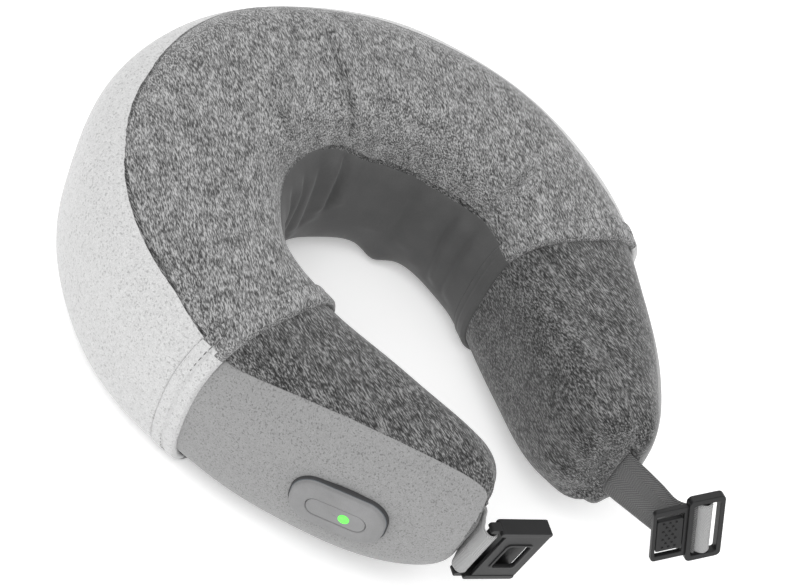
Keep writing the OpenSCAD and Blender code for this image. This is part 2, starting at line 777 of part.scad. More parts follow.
// Receiver: two rails with a pocket between two plates, and a window in the outer plate
rail_w = 3;
rail_h = 8;
rail_from = 2.4;
lug_r = 2.3;
receiver_l = 30;
plate_from = 6;
plate_t = 1.9;
module left_buckle() {
    color("black") at_frame(left_bar, left_along, left_across) {
        bar();
        for (y = [-1, 1]) translate([0, y * (buckle_w - rail_w) / 2, 0]) {
            translate([rail_from, -rail_w / 2, -rail_h / 2]) cube([receiver_l - rail_from, rail_w, rail_h]);
            rotate([90, 0, 0]) cylinder(r = lug_r, h = rail_w, center = true);
            translate([0, -rail_w / 2, -lug_r]) cube([rail_from + 1, rail_w, 2 * lug_r]);
        }
        difference() {
            translate([plate_from, 1 - buckle_w / 2, -rail_h / 2]) cube([receiver_l - plate_from, buckle_w - 2, rail_h]);
            translate([plate_from - 1, rail_w - buckle_w / 2, plate_t - rail_h / 2])
                cube([receiver_l, buckle_w - 2 * rail_w, rail_h - 2 * plate_t]);
            translate([12, -8.5, 0]) cube([12, 17, rail_h]);
        }
    }
}

// Tongue with the strap's bar in a thicker frame
frame_x = 9;
frame_t = 4.5;
tongue_tip = -26;
tongue_y = 15.5;
tongue_t = 2.6;
tab_gap = 0.3;
tab_near = -10.8;
tab_far = -24;
tab_y = 9.5;
module right_buckle() {
    color("black") at_frame(right_bar, right_along, right_across) {
        bar();
        translate([0, 0, -2]) linear_extrude(frame_t) difference() {
            rounded(2 * frame_x, buckle_w, 2);
            rounded(2 * frame_x - 5, buckle_w - 6.4, 1);
        }
        translate([0, 0, -tongue_t / 2]) linear_extrude(tongue_t) difference() {
            translate([(tongue_tip - frame_x + 2) / 2, 0])
                rounded(-frame_x + 2 - tongue_tip, 2 * tongue_y, 2);
            translate([tab_far - tab_gap, -tab_y - 3]) square([tab_near - tab_far + tab_gap, 2 * tab_y + 6]);
            translate([2 - frame_x - 0.5, -tongue_y]) square([5, 2 * tongue_y]);
        }
    }
}

// The press tab bends at the end next to the bar
module latch_tab() {
    color("black") at_frame(right_bar, right_along, right_across)
        translate([tab_far, -tab_y, -1]) cube([tab_near - tab_gap - tab_far, 2 * tab_y, 2.4]);
}

sleeve_outer_panel();
sleeve_top_panel();
sleeve_neck_panel();
sleeve_bottom_panel();
sleeve_hem(-1);  // sleeve_hem_left
sleeve_hem(1);  // sleeve_hem_right
base_cover_middle();
left_arm_side_panel();
left_arm_top_panel();
left_arm_inner_panel();
right_arm_side_panel();
right_arm_top_panel();
right_arm_inner_panel();
foam_back();
foam_arm_left();
foam_arm_right();
gear_housing_front();
gear_housing_rear();
housing_screws();
motor_can();
motor_end_cap();
motor_shaft();
worm();
worm_bearing();
worm_wheel(-1);  // worm_wheel_left
worm_wheel(1);  // worm_wheel_right
output_shaft(-1);  // output_shaft_left
output_shaft(1);  // output_shaft_right
shaft_bushes();
kneading_arm(-1);  // kneading_arm_left
kneading_arm(1);  // kneading_arm_right
head_pins(-1);  // head_pins_left
head_pins(1);  // head_pins_right
massage_head(-1, 1);  // massage_head_left_a
massage_head(-1, -1);  // massage_head_left_b
massage_head(1, 1);  // massage_head_right_a
massage_head(1, -1);  // massage_head_right_b
control_housing();
control_pad();
power_key();
status_lens();
control_board();
tact_switch();
control_screws();
battery_cells();
battery_case();
battery_lid();
charge_board();
charge_socket();
charge_bezel();
wiring_harness();
motor_lead();
strap_anchor(-1);  // left_strap_anchor
left_strap();
left_buckle();
strap_anchor(1);  // right_strap_anchor
right_strap();
right_buckle();
latch_tab();
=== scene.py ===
"""Looks of a shiatsu neck massager: fabric, webbing, moulded parts and their finishes.

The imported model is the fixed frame. Every length is in metres, in the model's own frame:
origin at the middle of the neck opening on the resting plane, +Y towards the nape, +Z up.
A place on the pillow is a station along its centre line (0 at the nape, 1 at a tip, negative
on the left side) and an angle round its section (0 outside, 90 on top, 180 at the neck).
"""

import json
import logging
import math
from dataclasses import dataclass, field
from enum import Enum
from typing import Callable, Iterable, Sequence

import bmesh
import bpy
import numpy as np
from mathutils import Matrix, Vector


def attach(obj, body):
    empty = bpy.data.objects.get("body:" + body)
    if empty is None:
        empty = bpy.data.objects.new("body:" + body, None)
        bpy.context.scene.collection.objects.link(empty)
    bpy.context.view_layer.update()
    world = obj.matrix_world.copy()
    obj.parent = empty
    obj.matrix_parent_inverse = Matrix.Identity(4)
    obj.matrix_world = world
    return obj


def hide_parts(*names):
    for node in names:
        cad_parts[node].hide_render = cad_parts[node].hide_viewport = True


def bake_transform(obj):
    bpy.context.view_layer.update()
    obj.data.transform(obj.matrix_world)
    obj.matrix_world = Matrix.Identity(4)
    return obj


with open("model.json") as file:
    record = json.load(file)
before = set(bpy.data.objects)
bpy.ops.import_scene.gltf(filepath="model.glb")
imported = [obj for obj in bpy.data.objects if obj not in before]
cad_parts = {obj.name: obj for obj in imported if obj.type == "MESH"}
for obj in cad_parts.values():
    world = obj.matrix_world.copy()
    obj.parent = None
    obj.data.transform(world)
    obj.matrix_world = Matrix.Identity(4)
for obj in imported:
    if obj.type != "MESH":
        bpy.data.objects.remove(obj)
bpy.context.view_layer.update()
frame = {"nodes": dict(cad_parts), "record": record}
LOG = logging.getLogger("neck_massager")
MM = 0.001

Points = np.ndarray
Colour = tuple[float, float, float]


class Side(Enum):
    """The two arms, with the sign of their X."""

    LEFT = -1
    RIGHT = 1

    @property
    def label(self) -> str:
        """Word used in the names of this side's nodes and bodies."""
        return self.name.lower()


class Body(Enum):
    """The moving bodies that the pieces ride on."""

    PILLOW = "pillow"
    KEY = "power_key"
    LEFT_WEBBING = "left_webbing"
    RIGHT_WEBBING = "right_webbing"
    RECEIVER = "receiver"
    TONGUE = "tongue"
    LATCH = "latch_tab"


# ---- The pillow's surface ------------------------------------------------------------------
def ease(x: Points) -> Points:
    """Smooth step from 0 at 0 to 1 at 1."""
    x = np.clip(x, 0.0, 1.0)
    return x * x * (3.0 - 2.0 * x)


def ramp(stops: Sequence[tuple[float, float]], even: bool = True) -> Callable[[Points], Points]:
    """Makes a function through a few (station, value) stops.

    Args:
        stops: Pairs of a station and the value there, in rising order.
        even: Whether it is the same on both arms.

    Returns:
        A function of station that holds its end values outside the stops.
    """
    at = np.array([s for s, _ in stops])
    values = np.array([v for _, v in stops])
    return lambda s: np.interp(np.abs(s) if even else s, at, values)


@dataclass(frozen=True)
class PillowShape:
    """Driving sizes of the pillow and the surface that follows from them."""

    neck_r: float = 0.100
    wrap: float = math.radians(105.0)
    arm_r: float = 0.345
    arm_len: float = 0.134
    back_w: float = 0.054
    tip_w: float = 0.029
    back_h: float = 0.100
    tip_h: float = 0.083
    tip_lift: float = 0.017
    squareness: float = 3.2
    tip_out: float = 0.010
    close_from: float = 0.66
    tip_power: float = 3.2
    slot_w: float = 0.0041
    slot_h: float = 0.019
    flat: float = 0.0012
    narrowing: float = 1.65

    @property
    def arc(self) -> float:
        """Length of the centre line's round part on one side."""
        return self.neck_r * self.wrap

    @property
    def half_len(self) -> float:
        """Length of the centre line from the nape to a tip."""
        return self.arc + self.arm_len

    def heading(self, s: Points) -> Points:
        """Angle that the centre line has turned through at station s."""
        run = np.abs(s) * self.half_len
        return np.where(run < self.arc, run / self.neck_r, self.wrap + (run - self.arc) / self.arm_r)

    def out_dir(self, s: Points) -> Points:
        """Level unit vector away from the neck at station s."""
        a = self.heading(s)
        side = np.where(s < 0, -1.0, 1.0)
        return np.stack([side * np.sin(a), np.cos(a), np.zeros_like(a)], axis=-1)

    def centre(self, s: Points) -> Points:
        """Point of the centre line at station s, on the resting plane."""
        a = self.heading(s)
        side = np.where(s < 0, -1.0, 1.0)
        run = np.abs(s) * self.half_len
        back = self.neck_r * np.stack([np.sin(a), np.cos(a)], axis=-1)
        hub = (self.neck_r - self.arm_r) * np.array([math.sin(self.wrap), math.cos(self.wrap)])
        arm = hub + self.arm_r * np.stack([np.sin(a), np.cos(a)], axis=-1)
        level = np.where((run < self.arc)[..., None], back, arm)
        return np.stack([side * level[..., 0], level[..., 1], np.zeros_like(a)], axis=-1)

    def closing(self, s: Points) -> Points:
        """Share of the full section that is left at station s, 0 at the tip."""
        e = np.clip((np.abs(s) - self.close_from) / (1.0 - self.close_from), 0.0, 1.0)
        return np.clip(1.0 - e ** self.tip_power, 0.0, 1.0) ** (1.0 / self.tip_power)

    def full_h(self, s: Points) -> Points:
        """Half height of the section before the tip closes it."""
        return (self.tip_h + (self.back_h - self.tip_h) * (1.0 - s * s) ** 2) / 2.0

    def half_w(self, s: Points) -> Points:
        """Half width of the section at station s."""
        full = self.back_w - (self.back_w - self.tip_w) * np.abs(s) ** self.narrowing
        return self.slot_w + (full - self.slot_w) * self.closing(s)

    def half_h(self, s: Points) -> Points:
        """Half height of the section at station s."""
        return self.slot_h + (self.full_h(s) - self.slot_h) * self.closing(s)

    def mid_z(self, s: Points) -> Points:
        """Height of the section's middle at station s."""
        rise = self.tip_lift * np.clip((np.abs(s) - 0.5) / 0.5, 0.0, None) ** 2
        return self.full_h(s) + rise - self.flat

    def skin(self, s: Points, angle: Points, depth: float = 0.0) -> Points:
        """Points of the surface.

        Args:
            s: Stations.
            angle: Angles round the section, in degrees.
            depth: How deep below the surface the points lie.

        Returns:
            An array of points with the shape of the stations.
        """
        c, z = np.cos(np.radians(angle)), np.sin(np.radians(angle))
        reach = (np.abs(c) ** self.squareness + np.abs(z) ** self.squareness) ** (-1.0 / self.squareness)
        x = self.tip_out * (1.0 - self.closing(s)) + (self.half_w(s) - depth) * reach * c
        height = self.mid_z(s) + (self.half_h(s) - depth) * reach * z
        place = self.centre(s) + self.out_dir(s) * x[..., None]
        place[..., 2] = np.maximum(height, np.maximum(depth, 0.0))
        return place

    def tip_dir(self, side: Side) -> Vector:
        """Level unit vector straight out of a tip."""
        n = self.out_dir(np.array(float(side.value)))
        return Vector((side.value * n[1], -side.value * n[0], 0.0))

    def tip_at(self, side: Side, out: float) -> Vector:
        """Point in the middle of a tip's opening, moved straight out of it."""
        s = np.array(float(side.value))
        p = self.centre(s) + self.out_dir(s) * self.tip_out
        return Vector((p[0], p[1], float(self.mid_z(s)))) + self.tip_dir(side) * out


# ---- How the fabric lies -------------------------------------------------------------------
@dataclass(frozen=True)
class Fold:
    """A crease in the fabric: a valley between two soft ridges, along a line on the surface."""

    line: tuple[tuple[float, float], ...]
    width: float = 2.4 * MM
    depth: float = 1.6 * MM
    ridge: float = 1.2 * MM
    grows: bool = True

    def rise(self, shape: PillowShape, points: Points) -> Points:
        """Height that this fold adds at some points of the surface.

        Args:
            shape: The pillow's surface.
            points: Points on it.

        Returns:
            One signed height for each point.
        """
        fine = np.linspace(0, 1, 28)
        knots = np.linspace(0, 1, len(self.line))
        stations = np.interp(fine, knots, [p[0] for p in self.line])
        angles = np.interp(fine, knots, [p[1] for p in self.line])
        path = shape.skin(stations, angles)
        flat = points.reshape(-1, 3)
        best = np.full(len(flat), 1.0)
        along = np.zeros(len(flat))
        for i in range(len(path) - 1):
            a, d = path[i], path[i + 1] - path[i]
            t = np.clip(((flat - a) @ d) / max(float(d @ d), 1e-12), 0.0, 1.0)
            gap = np.linalg.norm(flat - a - t[:, None] * d, axis=1)
            nearer = gap < best
            best = np.where(nearer, gap, best)
            along = np.where(nearer, (i + t) / (len(path) - 1), along)
        start = ease(along / 0.7) if self.grows else ease(along / 0.25)
        strength = start * ease((1.0 - along) / 0.12)
        valley = -self.depth * np.exp(-(best / self.width) ** 2)
        ridge = self.ridge * np.exp(-((best - 2.4 * self.width) / (1.5 * self.width)) ** 2)
        return (strength * (valley + ridge)).reshape(points.shape[:-1])


@dataclass(frozen=True)
class Drape:
    """What the fabric does over the foam: folds, the heads' bump, the pod's seat, the gather at a tip."""

    folds: tuple[Fold, ...] = (
        Fold(((0.075, 62), (0.066, 80), (0.055, 112), (0.041, 146)), 1.5 * MM, 4.0 * MM, 1.7 * MM),
        Fold(((0.041, 146), (0.035, 162), (0.04, 190)), 2.6 * MM, 2.0 * MM, 1.4 * MM, False),
        Fold(((-0.04, 88), (-0.085, 100), (-0.13, 114), (-0.182, 132)), 1.6 * MM, 3.2 * MM, 1.5 * MM),
        Fold(((0.17, 118), (0.155, 132), (0.145, 148)), 2.8 * MM, 1.6 * MM, 1.2 * MM),
        Fold(((0.475, 92), (0.495, 112), (0.524, 134)), 1.7 * MM, 3.2 * MM, 1.6 * MM),
        Fold(((-0.235, 146), (-0.23, 170), (-0.215, 212)), 3.4 * MM, 1.6 * MM, 1.2 * MM, False),
        Fold(((-0.15, 146), (-0.155, 172), (-0.145, 214)), 3.4 * MM, 1.4 * MM, 1.1 * MM, False),
        Fold(((-0.07, 148), (-0.07, 170), (-0.06, 200)), 3.2 * MM, 1.2 * MM, 1.0 * MM, False),
        Fold(((0.31, 156), (0.31, 175), (0.30, 206)), 4.0 * MM, 1.0 * MM, 0.9 * MM, False),
        Fold(((0.46, 150), (0.45, 176), (0.47, 214)), 3.4 * MM, 1.4 * MM, 1.2 * MM, False),
        Fold(((0.54, 148), (0.53, 176), (0.53, 212)), 3.2 * MM, 1.4 * MM, 1.2 * MM, False),
        Fold(((-0.42, 148), (-0.41, 176), (-0.42, 214)), 3.4 * MM, 1.2 * MM, 1.0 * MM, False),
        Fold(((-0.52, 148), (-0.52, 176), (-0.51, 214)), 3.2 * MM, 1.2 * MM, 1.0 * MM, False),
    )
    bump_station: float = 0.29
    bump_angle: float = 224.0
    bump_r: float = 9.0 * MM
    bump_h: float = 5.0 * MM
    lowest: float = -0.8 * MM
    seat_station: float = -0.84
    seat_r: float = 14.0 * MM
    seat_depth: float = 2.6 * MM

    def rise(self, shape: PillowShape, s: Points, angle: Points) -> Points:
        """Height of the fabric over the plain surface.

        Args:
            shape: The pillow's surface.
            s: Stations.
            angle: Angles round the section, in degrees.

        Returns:
            One height for each station and angle.
        """
        points = shape.skin(s, angle)
        wave = 0.25 * MM * (np.sin(31.0 * s + 0.05 * angle) + np.sin(17.0 * s - 0.09 * angle + 1.3))
        total = wave + sum(f.rise(shape, points) for f in self.folds)
        top = shape.skin(np.array(self.bump_station), np.array(self.bump_angle))
        far = np.linalg.norm(points - top, axis=-1)
        total = total + self.bump_h * np.exp(-(far / self.bump_r) ** 2)
        seat = shape.skin(np.array(self.seat_station), np.array(0.0))
        total = total - self.seat_depth * np.exp(-(np.linalg.norm(points - seat, axis=-1) / self.seat_r) ** 4)
        near_tip = ease((np.abs(s) - 0.93) / 0.05) * ease((angle - 60.0) / 40.0)
        total = total + 0.7 * MM * near_tip * np.sin(np.radians(angle * 9.0))
        return total


# ---- Meshes --------------------------------------------------------------------------------
def mesh_piece(name: str, points: Points, faces: Iterable[Sequence[int]],
               closed: bool = True) -> bpy.types.Object:
    """Makes a mesh object at the origin whose faces point outwards.

    Args:
        name: The piece's name.
        points: Its vertices.
        faces: Its faces, as indices.
        closed: Whether it has an inside, so that its volume says which way its faces point.

    Returns:
        The object, linked to the scene.
    """
    faces = [tuple(int(i) for i in f) for f in faces]
    if closed and signed_volume(points, faces) < 0:
        faces = [f[::-1] for f in faces]
    mesh = bpy.data.meshes.new(name)
    mesh.from_pydata([tuple(p) for p in points.tolist()], [], faces)
    mesh.validate()
    mesh.polygons.foreach_set("use_smooth", [True] * len(mesh.polygons))
    piece = bpy.data.objects.new(name, mesh)
    bpy.context.scene.collection.objects.link(piece)
    return piece


def signed_volume(points: Points, faces: Sequence[Sequence[int]]) -> float:
    """Volume inside a closed mesh, negative where its faces point inwards."""
    total = 0.0
    for size in {len(f) for f in faces}:
        block = np.array([f for f in faces if len(f) == size])
        for k in range(1, size - 1):
            a, b, c = points[block[:, 0]], points[block[:, k]], points[block[:, k + 1]]
            total += float(np.einsum("ij,ij->", a, np.cross(b, c)))
    return total / 6.0


def sheet_faces(rows: int, cols: int, first: int = 0, wrap: bool = False) -> Points:
    """Quads of a grid of points.

    Args:
        rows: Number of rows.
        cols: Number of points in a row.
        first: Index of the grid's first point.
        wrap: Whether each row closes on itself.

    Returns:
        An array of quads.
    """
    i, j = np.meshgrid(np.arange(rows - 1), np.arange(cols if wrap else cols - 1), indexing="ij")
    k = (j + 1) % cols
    a, b = first + i * cols + j, first + (i + 1) * cols + j
    c, d = first + (i + 1) * cols + k, first + i * cols + k
    return np.stack([a, b, c, d], axis=-1).reshape(-1, 4)


def set_uv(piece: bpy.types.Object, u: Points, v: Points) -> None:
    """Gives a piece a UV map, in metres, from one value pair for each vertex."""
    mesh = piece.data
    layer = mesh.uv_layers.new(name="cloth")
    corner = np.zeros(len(mesh.loops), dtype=np.int32)
    mesh.loops.foreach_get("vertex_index", corner)
    layer.data.foreach_set("uv", np.stack([u[corner], v[corner]], axis=-1).astype(np.float32).ravel())


def grid_normals(grid: Points, inside: Points) -> Points:
    """Unit normals of a grid of points, turned away from a point inside for each of them."""
    across = np.cross(np.gradient(grid, axis=0), np.gradient(grid, axis=1))
    across /= np.maximum(np.linalg.norm(across, axis=-1, keepdims=True), 1e-12)
    flip = np.sign(np.einsum("...k,...k->...", across, grid - inside))
    return across * np.where(flip == 0, 1.0, flip)[..., None]


def refined(count: int, edge: float) -> Points:
    """Even steps from 0 to 1 with extra ones within a short distance of both ends."""
    near = edge * np.array([0.0, 0.12, 0.28, 0.5, 0.75])
    return np.concatenate([near, np.linspace(edge, 1.0 - edge, count), 1.0 - near[::-1]])


def bake(piece: bpy.types.Object) -> bpy.types.Object:
    """Turns a piece and its modifiers into a plain mesh in the same object."""
    view = bpy.context.evaluated_depsgraph_get()
    mesh = bpy.data.meshes.new_from_object(piece.evaluated_get(view), preserve_all_data_layers=True,
                                           depsgraph=view)
    piece.modifiers.clear()
    piece.data = mesh
    mesh.name = piece.name
    return piece


# ---- Finishes ------------------------------------------------------------------------------
class Shader:
    """Lays out the nodes of one material."""

    def __init__(self, name: str, roughness: float, colour: Colour = (0.5, 0.5, 0.5)) -> None:
        """Starts a material with a plain shader."""
        self.material = bpy.data.materials.new(name)
        self.material.use_nodes = True
        self.nodes = self.material.node_tree.nodes
        self.links = self.material.node_tree.links
        self.surface = self.nodes["Principled BSDF"]
        self.surface.inputs["Roughness"].default_value = roughness
        self.surface.inputs["Base Color"].default_value = (*colour, 1.0)

    def set(self, **values: float) -> None:
        """Sets the shader's own sockets, with spaces in their names written as underscores."""
        for name, value in values.items():
            self.surface.inputs[name.replace("_", " ")].default_value = value

    def place(self, scale: Sequence[float] = (1, 1, 1), turn: float = 0.0, source: str = "Object"):
        """Coordinates on the piece, stretched and turned about Z."""
        coords = self.nodes.new("ShaderNodeTexCoord")
        turned = self.nodes.new("ShaderNodeMapping")
        turned.inputs["Rotation"].default_value = (0.0, 0.0, turn)
        self.links.new(coords.outputs[source], turned.inputs["Vector"])
        sized = self.nodes.new("ShaderNodeMapping")
        sized.inputs["Scale"].default_value = scale
        self.links.new(turned.outputs["Vector"], sized.inputs["Vector"])
        return sized.outputs["Vector"]

    def noise(self, place, scale: float, detail: float = 2.0, rough: float = 0.5):
        """Soft noise from 0 to 1."""
        node = self.nodes.new("ShaderNodeTexNoise")
        node.inputs["Scale"].default_value = scale
        node.inputs["Detail"].default_value = detail
        node.inputs["Roughness"].default_value = rough
        self.links.new(place, node.inputs["Vector"])
        return node.outputs["Fac"]

    def cells(self, place, scale: float):
        """Distance to the nearest of scattered points."""
        node = self.nodes.new("ShaderNodeTexVoronoi")
        node.inputs["Scale"].default_value = scale
        self.links.new(place, node.inputs["Vector"])
        return node.outputs["Distance"]

    def wave(self, place, scale: float, distortion: float = 0.0):
        """Even bands from 0 to 1."""
        node = self.nodes.new("ShaderNodeTexWave")
        node.inputs["Scale"].default_value = scale
        node.inputs["Distortion"].default_value = distortion
        self.links.new(place, node.inputs["Vector"])
        return node.outputs["Fac"]

    def math(self, kind: str, first, second=None):
        """One arithmetic step on sockets or numbers."""
        node = self.nodes.new("ShaderNodeMath")
        node.operation = kind
        for slot, value in enumerate(v for v in (first, second) if v is not None):
            if isinstance(value, (int, float)):
                node.inputs[slot].default_value = value
            else:
                self.links.new(value, node.inputs[slot])
        return node.outputs["Value"]

    def tones(self, value, stops: Sequence[tuple[float, Colour]]):
        """Colours spread over a value from 0 to 1."""
        node = self.nodes.new("ShaderNodeValToRGB")
        while len(node.color_ramp.elements) < len(stops):
            node.color_ramp.elements.new(0.5)
        for element, (at, colour) in zip(node.color_ramp.elements, stops):
            element.position = at
            element.color = (*colour, 1.0)
        self.links.new(value, node.inputs["Fac"])
        return node.outputs["Color"]

    def blend(self, share, first, second):
        """Mix of two colours by a share."""
        node = self.nodes.new("ShaderNodeMix")
        node.data_type = "RGBA"
        for socket, value in ((node.inputs[0], share), (node.inputs[6], first), (node.inputs[7], second)):
            if isinstance(value, (int, float)):
                socket.default_value = value
            elif isinstance(value, tuple):
                socket.default_value = (*value, 1.0)
            else:
                self.links.new(value, socket)
        return node.outputs[2]

    def colour(self, socket) -> None:
        """Feeds the shader's colour."""
        self.links.new(socket, self.surface.inputs["Base Color"])

    def rough(self, value, low: float, high: float) -> None:
        """Feeds the shader's roughness with a value spread between two limits."""
        node = self.nodes.new("ShaderNodeMapRange")
        node.inputs["To Min"].default_value = low
        node.inputs["To Max"].default_value = high
        self.links.new(value, node.inputs["Value"])
        self.links.new(node.outputs["Result"], self.surface.inputs["Roughness"])

    def bump(self, height, distance: float, strength: float = 1.0) -> None:
        """Feeds the shader's normal with a relief of some depth."""
        node = self.nodes.new("ShaderNodeBump")
        node.inputs["Distance"].default_value = distance
        node.inputs["Strength"].default_value = strength
        self.links.new(height, node.inputs["Height"])
        self.links.new(node.outputs["Normal"], self.surface.inputs["Normal"])


def grey(level: float, warm: float = 0.0) -> Colour:
    """A grey, a little warmer or cooler."""
    return (level * (1.0 + warm), level, level * (1.0 - warm))


@dataclass(frozen=True)
class HeatherKnit:
    """Knit of mixed yarns whose short fibres show as streaks along one way."""

    name: str
    dark: float
    middle: float
    light: float
    turn: float = 0.0
    width: float = 0.36 * MM
    length: float = 1.8 * MM
    nap: float = 0.25 * MM

    def material(self) -> bpy.types.Material:
        """Builds the material."""
        s = Shader(self.name, 0.9)
        s.set(Sheen_Weight=0.25, Sheen_Roughness=0.5, Specular_IOR_Level=0.2)
        place = s.place((1.0 / self.width, 1.0 / self.length, 1.0 / self.width), self.turn)
        fibres = s.noise(place, 0.62, 2.0, 0.6)
        patches = s.noise(s.place((1.0, 0.6, 1.0), self.turn), 170.0, 2.0, 0.5)
        mixed = s.math("ADD", s.math("MULTIPLY", fibres, 0.82), s.math("MULTIPLY", patches, 0.18))
        stops = [(0.38, grey(self.dark)), (0.5, grey(self.middle)), (0.63, grey(self.light))]
        s.colour(s.tones(mixed, stops))
        s.bump(fibres, self.nap, 0.8)
        return s.material


@dataclass(frozen=True)
class MelangeKnit:
    """Pale knit with a soft nap and scattered darker flecks."""

    name: str
    base: float
    pale: float
    fleck: float
    spread: float
    size: float = 0.55 * MM
    contrast: float = 0.5

    def material(self) -> bpy.types.Material:
        """Builds the material."""
        s = Shader(self.name, 0.92)
        s.set(Sheen_Weight=0.3, Sheen_Roughness=0.45, Specular_IOR_Level=0.2)
        place = s.place()
        grain = s.noise(place, 1.0 / self.size, 2.0, 0.65)
        cloud = s.noise(place, 0.22 / self.size, 2.0, 0.5)
        mixed = s.math("ADD", s.math("MULTIPLY", grain, 0.75), s.math("MULTIPLY", cloud, 0.25))
        half = 0.25 * self.contrast
        body = s.tones(mixed, [(0.5 - half, grey(self.base)), (0.5 + half, grey(self.pale))])
        flecks = s.noise(s.place((1.0, 0.7, 1.0), 0.5), 0.55 / self.size, 1.0, 0.4)
        share = s.tones(flecks, [(self.spread - 0.06, grey(0.8)), (self.spread + 0.06, grey(0.0))])
        s.colour(s.blend(share, body, grey(self.fleck)))
        s.bump(mixed, 0.3 * MM, 0.7)
        return s.material


@dataclass(frozen=True)
class StretchKnit:
    """Smooth stretch fabric with a fine even face."""

    name: str
    dark: float
    light: float

    def material(self) -> bpy.types.Material:
        """Builds the material."""
        s = Shader(self.name, 0.72)
        s.set(Sheen_Weight=0.15, Sheen_Roughness=0.4, Specular_IOR_Level=0.35)
        place = s.place()
        fine = s.noise(place, 2600.0, 1.0, 0.5)
        cloud = s.noise(place, 60.0, 2.0, 0.5)
        mixed = s.math("ADD", s.math("MULTIPLY", fine, 0.5), s.math("MULTIPLY", cloud, 0.5))
        s.colour(s.tones(mixed, [(0.3, grey(self.dark)), (0.7, grey(self.light))]))
        s.bump(fine, 0.08 * MM, 0.6)
        return s.material


@dataclass(frozen=True)
class TwillWebbing:
    """Woven webbing whose ribs slant one way and then the other, like a herringbone."""

    name: str
    dark: float
    light: float
    rib: float = 1.3 * MM
    zigzag: float = 7.5 * MM
    shine: float = 0.5

    def material(self) -> bpy.types.Material:
        """Builds the material. It follows the UV map: U along the webbing, V across it."""
        s = Shader(self.name, self.shine)
        s.set(Sheen_Weight=0.15, Specular_IOR_Level=0.35)
        coords = s.nodes.new("ShaderNodeTexCoord")
        split = s.nodes.new("ShaderNodeSeparateXYZ")
        s.links.new(coords.outputs["UV"], split.inputs["Vector"])
        slant = s.math("PINGPONG", split.outputs["Y"], self.zigzag)
        phase = s.math("ADD", split.outputs["X"], slant)
        ribs = s.math("SINE", s.math("MULTIPLY", phase, 2.0 * math.pi / self.rib))
        yarns = s.math("SINE", s.math("MULTIPLY", split.outputs["Y"], 2.0 * math.pi / (0.8 * MM)))
        weave = s.math("ADD", s.math("MULTIPLY", ribs, 0.32), s.math("MULTIPLY", yarns, 0.12))
        level = s.math("ADD", weave, 0.5)
        fuzz = s.noise(s.place(), 1800.0, 1.0, 0.5)
        tone = s.math("ADD", s.math("MULTIPLY", level, 0.8), s.math("MULTIPLY", fuzz, 0.2))
        s.colour(s.tones(tone, [(0.25, grey(self.dark)), (0.8, grey(self.light))]))
        s.bump(level, 0.35 * MM, 0.9)
        return s.material


@dataclass(frozen=True)
class Moulded:
    """Moulded plastic or rubber with a fine spark-eroded grain."""

    name: str
    colour: Colour
    roughness: float = 0.45
    grain: float = 0.35 * MM
    relief: float = 0.03 * MM
    coat: float = 0.0

    def material(self) -> bpy.types.Material:
        """Builds the material."""
        s = Shader(self.name, self.roughness, self.colour)
        s.set(Coat_Weight=self.coat, Specular_IOR_Level=0.3)
        place = s.place()
        fine = s.noise(place, 1.0 / self.grain, 2.0, 0.5)
        cloud = s.noise(place, 90.0, 3.0, 0.6)
        shade = tuple(c * 0.86 for c in self.colour)
        tint = tuple(min(1.0, c * 1.1 + 0.003) for c in self.colour)
        s.colour(s.tones(s.math("ADD", s.math("MULTIPLY", fine, 0.4), s.math("MULTIPLY", cloud, 0.6)),
                         [(0.3, shade), (0.7, tint)]))
        s.rough(cloud, self.roughness - 0.06, self.roughness + 0.08)
        s.bump(fine, self.relief, 0.6)
        return s.material


@dataclass(frozen=True)
class Metal:
    """Metal with fine marks from turning or rolling."""

    name: str
    colour: Colour
    roughness: float = 0.3

    def material(self) -> bpy.types.Material:
        """Builds the material."""
        s = Shader(self.name, self.roughness, self.colour)
        s.set(Metallic=1.0)
        marks = s.noise(s.place((1.0, 1.0, 14.0)), 260.0, 2.0, 0.6)
        cloud = s.noise(s.place(), 120.0, 2.0, 0.5)
        shade = tuple(c * 0.8 for c in self.colour)
        s.colour(s.tones(cloud, [(0.3, shade), (0.7, self.colour)]))
        s.rough(marks, self.roughness - 0.08, self.roughness + 0.14)
        s.bump(marks, 0.02 * MM, 0.5)
        return s.material


@dataclass(frozen=True)
class Foam:
    """Cut open-cell foam."""

    name: str = "cut_foam"
    colour: Colour = (0.80, 0.74, 0.55)

    def material(self) -> bpy.types.Material:
        """Builds the material."""
        s = Shader(self.name, 0.95)
        s.set(Specular_IOR_Level=0.2)
        cells = s.cells(s.place(), 900.0)
        shade = tuple(c * 0.7 for c in self.colour)
        s.colour(s.tones(cells, [(0.1, shade), (0.5, self.colour)]))
        s.bump(cells, 0.4 * MM, 0.8)
        return s.material


@dataclass(frozen=True)
class BoardMask:
    """Printed board: green mask with paler tracks beneath."""

    name: str = "board_mask"

    def material(self) -> bpy.types.Material:
        """Builds the material."""
        s = Shader(self.name, 0.35)
        s.set(Coat_Weight=0.4)
        tracks = s.wave(s.place((1.0, 1.0, 1.0), 0.6), 320.0, 4.0)
        s.colour(s.tones(tracks, [(0.45, (0.01, 0.10, 0.04)), (0.6, (0.03, 0.22, 0.09))]))
        s.bump(tracks, 0.04 * MM, 0.5)
        return s.material


@dataclass(frozen=True)
class LitLens:
    """Small translucent lens lit from behind."""

    name: str = "lit_lens"
    colour: Colour = (0.20, 1.0, 0.13)
    strength: float = 1.1

    def material(self) -> bpy.types.Material:
        """Builds the material."""
        s = Shader(self.name, 0.4, self.colour)
        spread = s.noise(s.place(), 900.0, 1.0, 0.5)
        s.colour(s.tones(spread, [(0.2, (0.02, 0.26, 0.02)), (0.8, (0.04, 0.34, 0.03))]))
        s.links.new(s.tones(spread, [(0.2, (0.13, 0.85, 0.09)), (0.8, self.colour)]),
                    s.surface.inputs["Emission Color"])
        s.set(Emission_Strength=self.strength)
        return s.material


